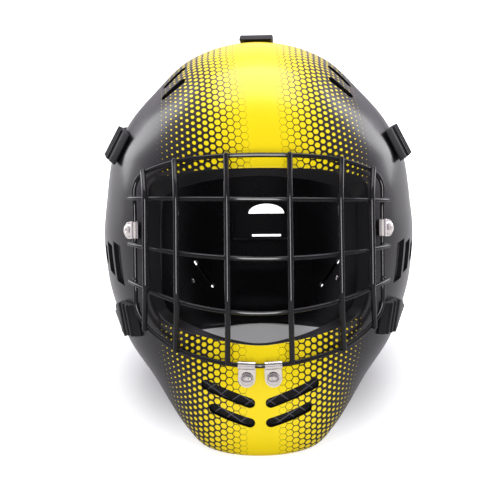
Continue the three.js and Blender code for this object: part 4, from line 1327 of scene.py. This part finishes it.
# %% Buckles and rivets
def buckle_outline(wedge):
    half, valley = BUCKLE_LENGTH / 2, BUCKLE_HEIGHT - RIDGE_HEIGHT
    pitch = (BUCKLE_LENGTH - BUCKLE_END) / RIDGES
    outline = [(-half - wedge, 0), (half, 0), (half, valley)]
    for i in range(RIDGES):
        start = half - i * pitch
        outline += [(start - 0.15 * pitch, BUCKLE_HEIGHT), (start - 0.55 * pitch, BUCKLE_HEIGHT),
                    (start - 0.7 * pitch, valley), (start - pitch, valley)]
    if wedge:
        outline.append((-half, valley))
    return [*outline, (-half - wedge, BUCKLE_TOE)]


gate = STRAP_THICKNESS + 2 * GAP
seat, tail = 2 * GAP + STRAP_THICKNESS + GAP, -WALL - RIVET_TAIL
for name, side_word, wedge, (_, frame_at, mouth) in runs:
    buckle = prism(buckle_outline(wedge), BUCKLE_WIDTH)
    buckle.name = f"{name}{side_word}_buckle_nylon"
    buckle.data.materials.append(nylon)
    bpy.ops.mesh.primitive_cube_add(size=1)
    tunnel = bpy.context.object
    tunnel.data.transform(
        Matrix.Translation((BUCKLE_LENGTH / 2 - BUCKLE_END, 0, BUCKLE_BASE + gate / 2))
        @ Matrix.Diagonal((BUCKLE_LENGTH, STRAP_WIDTH + 2 * GAP, gate, 1)))
    cut(buckle, [tunnel], material_index=0)
    soften_edges(buckle, 0.4, segments=3, degrees=20)
    point, along, across, out = mouth
    buckle.data.transform(basis(along, across, out, point + out * GAP))
    finish_piece(buckle, f"{name}_buckle{side_word}", smooth=40)

    rivet = turned_piece(f"{name}{side_word}_rivet_metal", [
        (0, tail), (RIVET_SHANK, tail), (RIVET_SHANK, seat), (RIVET_HEAD, seat),
        *dome(RIVET_HEAD, seat + RIVET_RIM, seat + RIVET_DOME, 8),
    ], steps=28)
    rivet.data.materials.append(zinc)
    soften_edges(rivet, 0.25, segments=2, degrees=35)
    rivet.data.transform(run_matrix(frame_at, 1))
    finish_piece(rivet, f"{name}_rivet{side_word}")
print("buckles and rivets placed")

# %% [markdown]
# The pads are foam under brushed nylon. Each starts as a slightly thin lens under the form,
# is remeshed in even cells and is blown up by a cloth simulation. It is glued to the shell
# and has little room, so how far a point may move is capped at 0.8 mm. Left free it would
# swell by up to 9 mm, so the cap holds about nine points in ten, and the lens gives nearly
# all of the shape. The quilting of the chin pad and the seams are pressed in afterwards,
# because the remesh would lose them.

# %% Brushed nylon over foam
QUILT, QUILT_SLANT = 10, 1.4
THREAD = 0.035  # its half width, as a share of the quilting's step


def brushed_nylon(name, quilted):
    made, tree, shader, place, tone = clouded_material(
        name, ("#0B0B0C", "#151416"), 120, detail=4,
        Roughness=0.92, Sheen_Weight=0.2, Sheen_Roughness=0.6)
    for slant in (QUILT_SLANT, -QUILT_SLANT) if quilted else ():
        across = (UNWORN[0] + slant * UNWORN[2]) / (QUILT * QUILT_SLANT)
        passed = add_node(tree, VECTOR, {0: place, 1: across[:3]}, operation="DOT_PRODUCT")["Value"]
        passed = add_node(tree, MATH, {0: passed, 1: across[3]}, operation="ADD")[0]
        near = add_node(tree, MATH, {0: passed, 1: 0.5}, operation="PINGPONG")[0]
        thread = add_node(tree, "ShaderNodeMapRange",
                          {0: near, 1: THREAD, 2: THREAD * 1.5, 3: 1, 4: 0})[0]
        tone = add_node(tree, "ShaderNodeMix", {0: thread, 6: tone, 7: linear("#615F65")},
                        data_type="RGBA")[2]
    tree.links.new(tone, shader.inputs["Base Color"])
    fuzz = add_node(tree, "ShaderNodeTexNoise", {"Vector": place, "Scale": 1800, "Detail": 3})[0]
    link_bump(tree, shader, fuzz, 0.5, 0.0002)
    return made


UNWORN = np.array(WORN.inverted())
plain_nylon = brushed_nylon("brushed_nylon_over_foam", quilted=False)
quilted_nylon = brushed_nylon("quilted_nylon_over_foam", quilted=True)

# %% Pads
PAD_PROFILE = np.array([
    # share of the way out from the middle, and depth under the form
    (0, 4.9), (0.35, 4.9), (0.7, 4.9), (0.88, 5), (0.96, 5.6), (0.985, 7.4),
    (0.96, 9.4), (0.88, 10.9), (0.7, 11.6), (0.35, 11.9), (0, 12),
])
PAD_VOXEL, PAD_CAP = 3.2 * MM, 0.8 * MM
PAD_PRESSURE, PAD_STEPS = 4, 20
SIDE_PAD_MIDDLE, SIDE_PAD_HALF, SIDE_PAD_SQUARENESS = (-15, -8), (42, 44), 3.5
CHIN_PAD_MIDDLE, CHIN_PAD_HALF, CHIN_PAD_TAPER, CHIN_PAD_SQUARENESS = -107, (56, 25), 0.18, 3.8
QUILT_GROOVE, QUILT_DEPTH, SEAM_AT, SEAM_WIDTH, SEAM_DEPTH = 1.2, 0.9, 0.86, 0.035, 0.8


def side_spot(side):
    def spot(p, q):
        return seen_from((side, 0, 0), SIDE_PAD_MIDDLE[0] + p * SIDE_PAD_HALF[0],
                         SIDE_PAD_MIDDLE[1] + q * SIDE_PAD_HALF[1])
    return spot


def chin_spot(p, q):
    width = CHIN_PAD_HALF[0] * (1 - CHIN_PAD_TAPER * (1 - q))
    return seen_from(FRONT, p * width, CHIN_PAD_MIDDLE + q * CHIN_PAD_HALF[1])


def pad_shares(points, squareness, side):
    """How far out from the middle of a pad its worn points lie, as shares."""
    if side:
        p = (points[:, 1] - SIDE_PAD_MIDDLE[0]) / SIDE_PAD_HALF[0]
        q = (points[:, 2] - SIDE_PAD_MIDDLE[1]) / SIDE_PAD_HALF[1]
    else:
        q = (points[:, 2] - CHIN_PAD_MIDDLE) / CHIN_PAD_HALF[1]
        p = points[:, 0] / (CHIN_PAD_HALF[0] * (1 - CHIN_PAD_TAPER * (1 - q)))
    return (np.abs(p) ** squareness + np.abs(q) ** squareness) ** (1 / squareness)


def vertex_array(mesh, values=None):
    """Reads, or writes, all the points of a mesh at once."""
    if values is None:
        values = np.zeros(len(mesh.vertices) * 3)
        mesh.vertices.foreach_get("co", values)
        return values.reshape(-1, 3)
    mesh.vertices.foreach_set("co", values.ravel())
    mesh.update()
    return values


def swell(pad):
    """Blows a closed mesh in metres up as cloth, with no point moved further than the cap."""
    remesh = pad.modifiers.new("cells", "REMESH")
    remesh.mode = "VOXEL"
    remesh.voxel_size = PAD_VOXEL
    apply_modifiers(pad)
    before = vertex_array(pad.data)
    cloth = pad.modifiers.new("cloth", "CLOTH")
    cloth.settings.use_pressure = True
    cloth.settings.uniform_pressure_force = PAD_PRESSURE
    cloth.settings.effector_weights.gravity = 0
    for step in range(1, PAD_STEPS + 1):
        bpy.context.scene.frame_set(step)
    apply_modifiers(pad)
    moved = vertex_array(pad.data) - before
    far = np.linalg.norm(moved, axis=1)[:, None]
    held = round(100 * float(np.mean(far > PAD_CAP)))
    print(pad.name, "swells freely by up to", round(far.max() / MM, 2), "mm,", held, "% held")
    vertex_array(pad.data, before + moved * np.minimum(1, PAD_CAP / np.maximum(far, 1e-9)))
    bpy.context.scene.frame_set(1)
    finer = pad.modifiers.new("finer", "SUBSURF")
    finer.levels = finer.render_levels = 2
    apply_modifiers(pad)


def make_pad(name, node, spot, squareness, side):
    angles = np.linspace(0, 2 * math.pi, 96, endpoint=False)
    p, q = np.cos(angles), np.sin(angles)
    size = (np.abs(p) ** squareness + np.abs(q) ** squareness) ** (1 / squareness)
    loops = [lifted(spot(share * p / size, share * q / size), -depth)
             for share, depth in PAD_PROFILE]
    pad = shaped_sheet(name, np.stack(loops), closed=True)
    face_out(pad)
    pad.data.transform(WORN)
    swell(pad)
    pad.data.materials.clear()
    pad.data.materials.append(plain_nylon if side else quilted_nylon)
    points = vertex_array(pad.data)
    away = np.zeros(points.size)
    pad.data.vertices.foreach_get("normal", away)
    away = away.reshape(-1, 3)
    worn = points @ UNWORN[:3, :3].T + UNWORN[:3, 3]
    out_share = pad_shares(worn, squareness, side)
    pressed = SEAM_DEPTH * (1 - soft_step(0, SEAM_WIDTH, np.abs(out_share - SEAM_AT)))
    if not side:
        for diagonal in (1, -1):
            line = (worn[:, 0] + diagonal * QUILT_SLANT * worn[:, 2]) / (QUILT * QUILT_SLANT)
            near = np.abs(line - np.rint(line)) * QUILT
            groove = QUILT_DEPTH * (1 - soft_step(0, QUILT_GROOVE, near))
            pressed = np.maximum(pressed, np.where(out_share < SEAM_AT, groove, 0))
    vertex_array(pad.data, points - away * (pressed * MM)[:, None])
    finish_piece(pad, node, smooth=60, transform=Matrix.Identity(4))


for side, word in ((-1, "left"), (1, "right")):
    make_pad(f"side_padding_{word}", f"side_pad_{word}", side_spot(side), SIDE_PAD_SQUARENESS, side)
make_pad("chin_padding", "chin_pad", chin_spot, CHIN_PAD_SQUARENESS, 0)
print("pads placed")
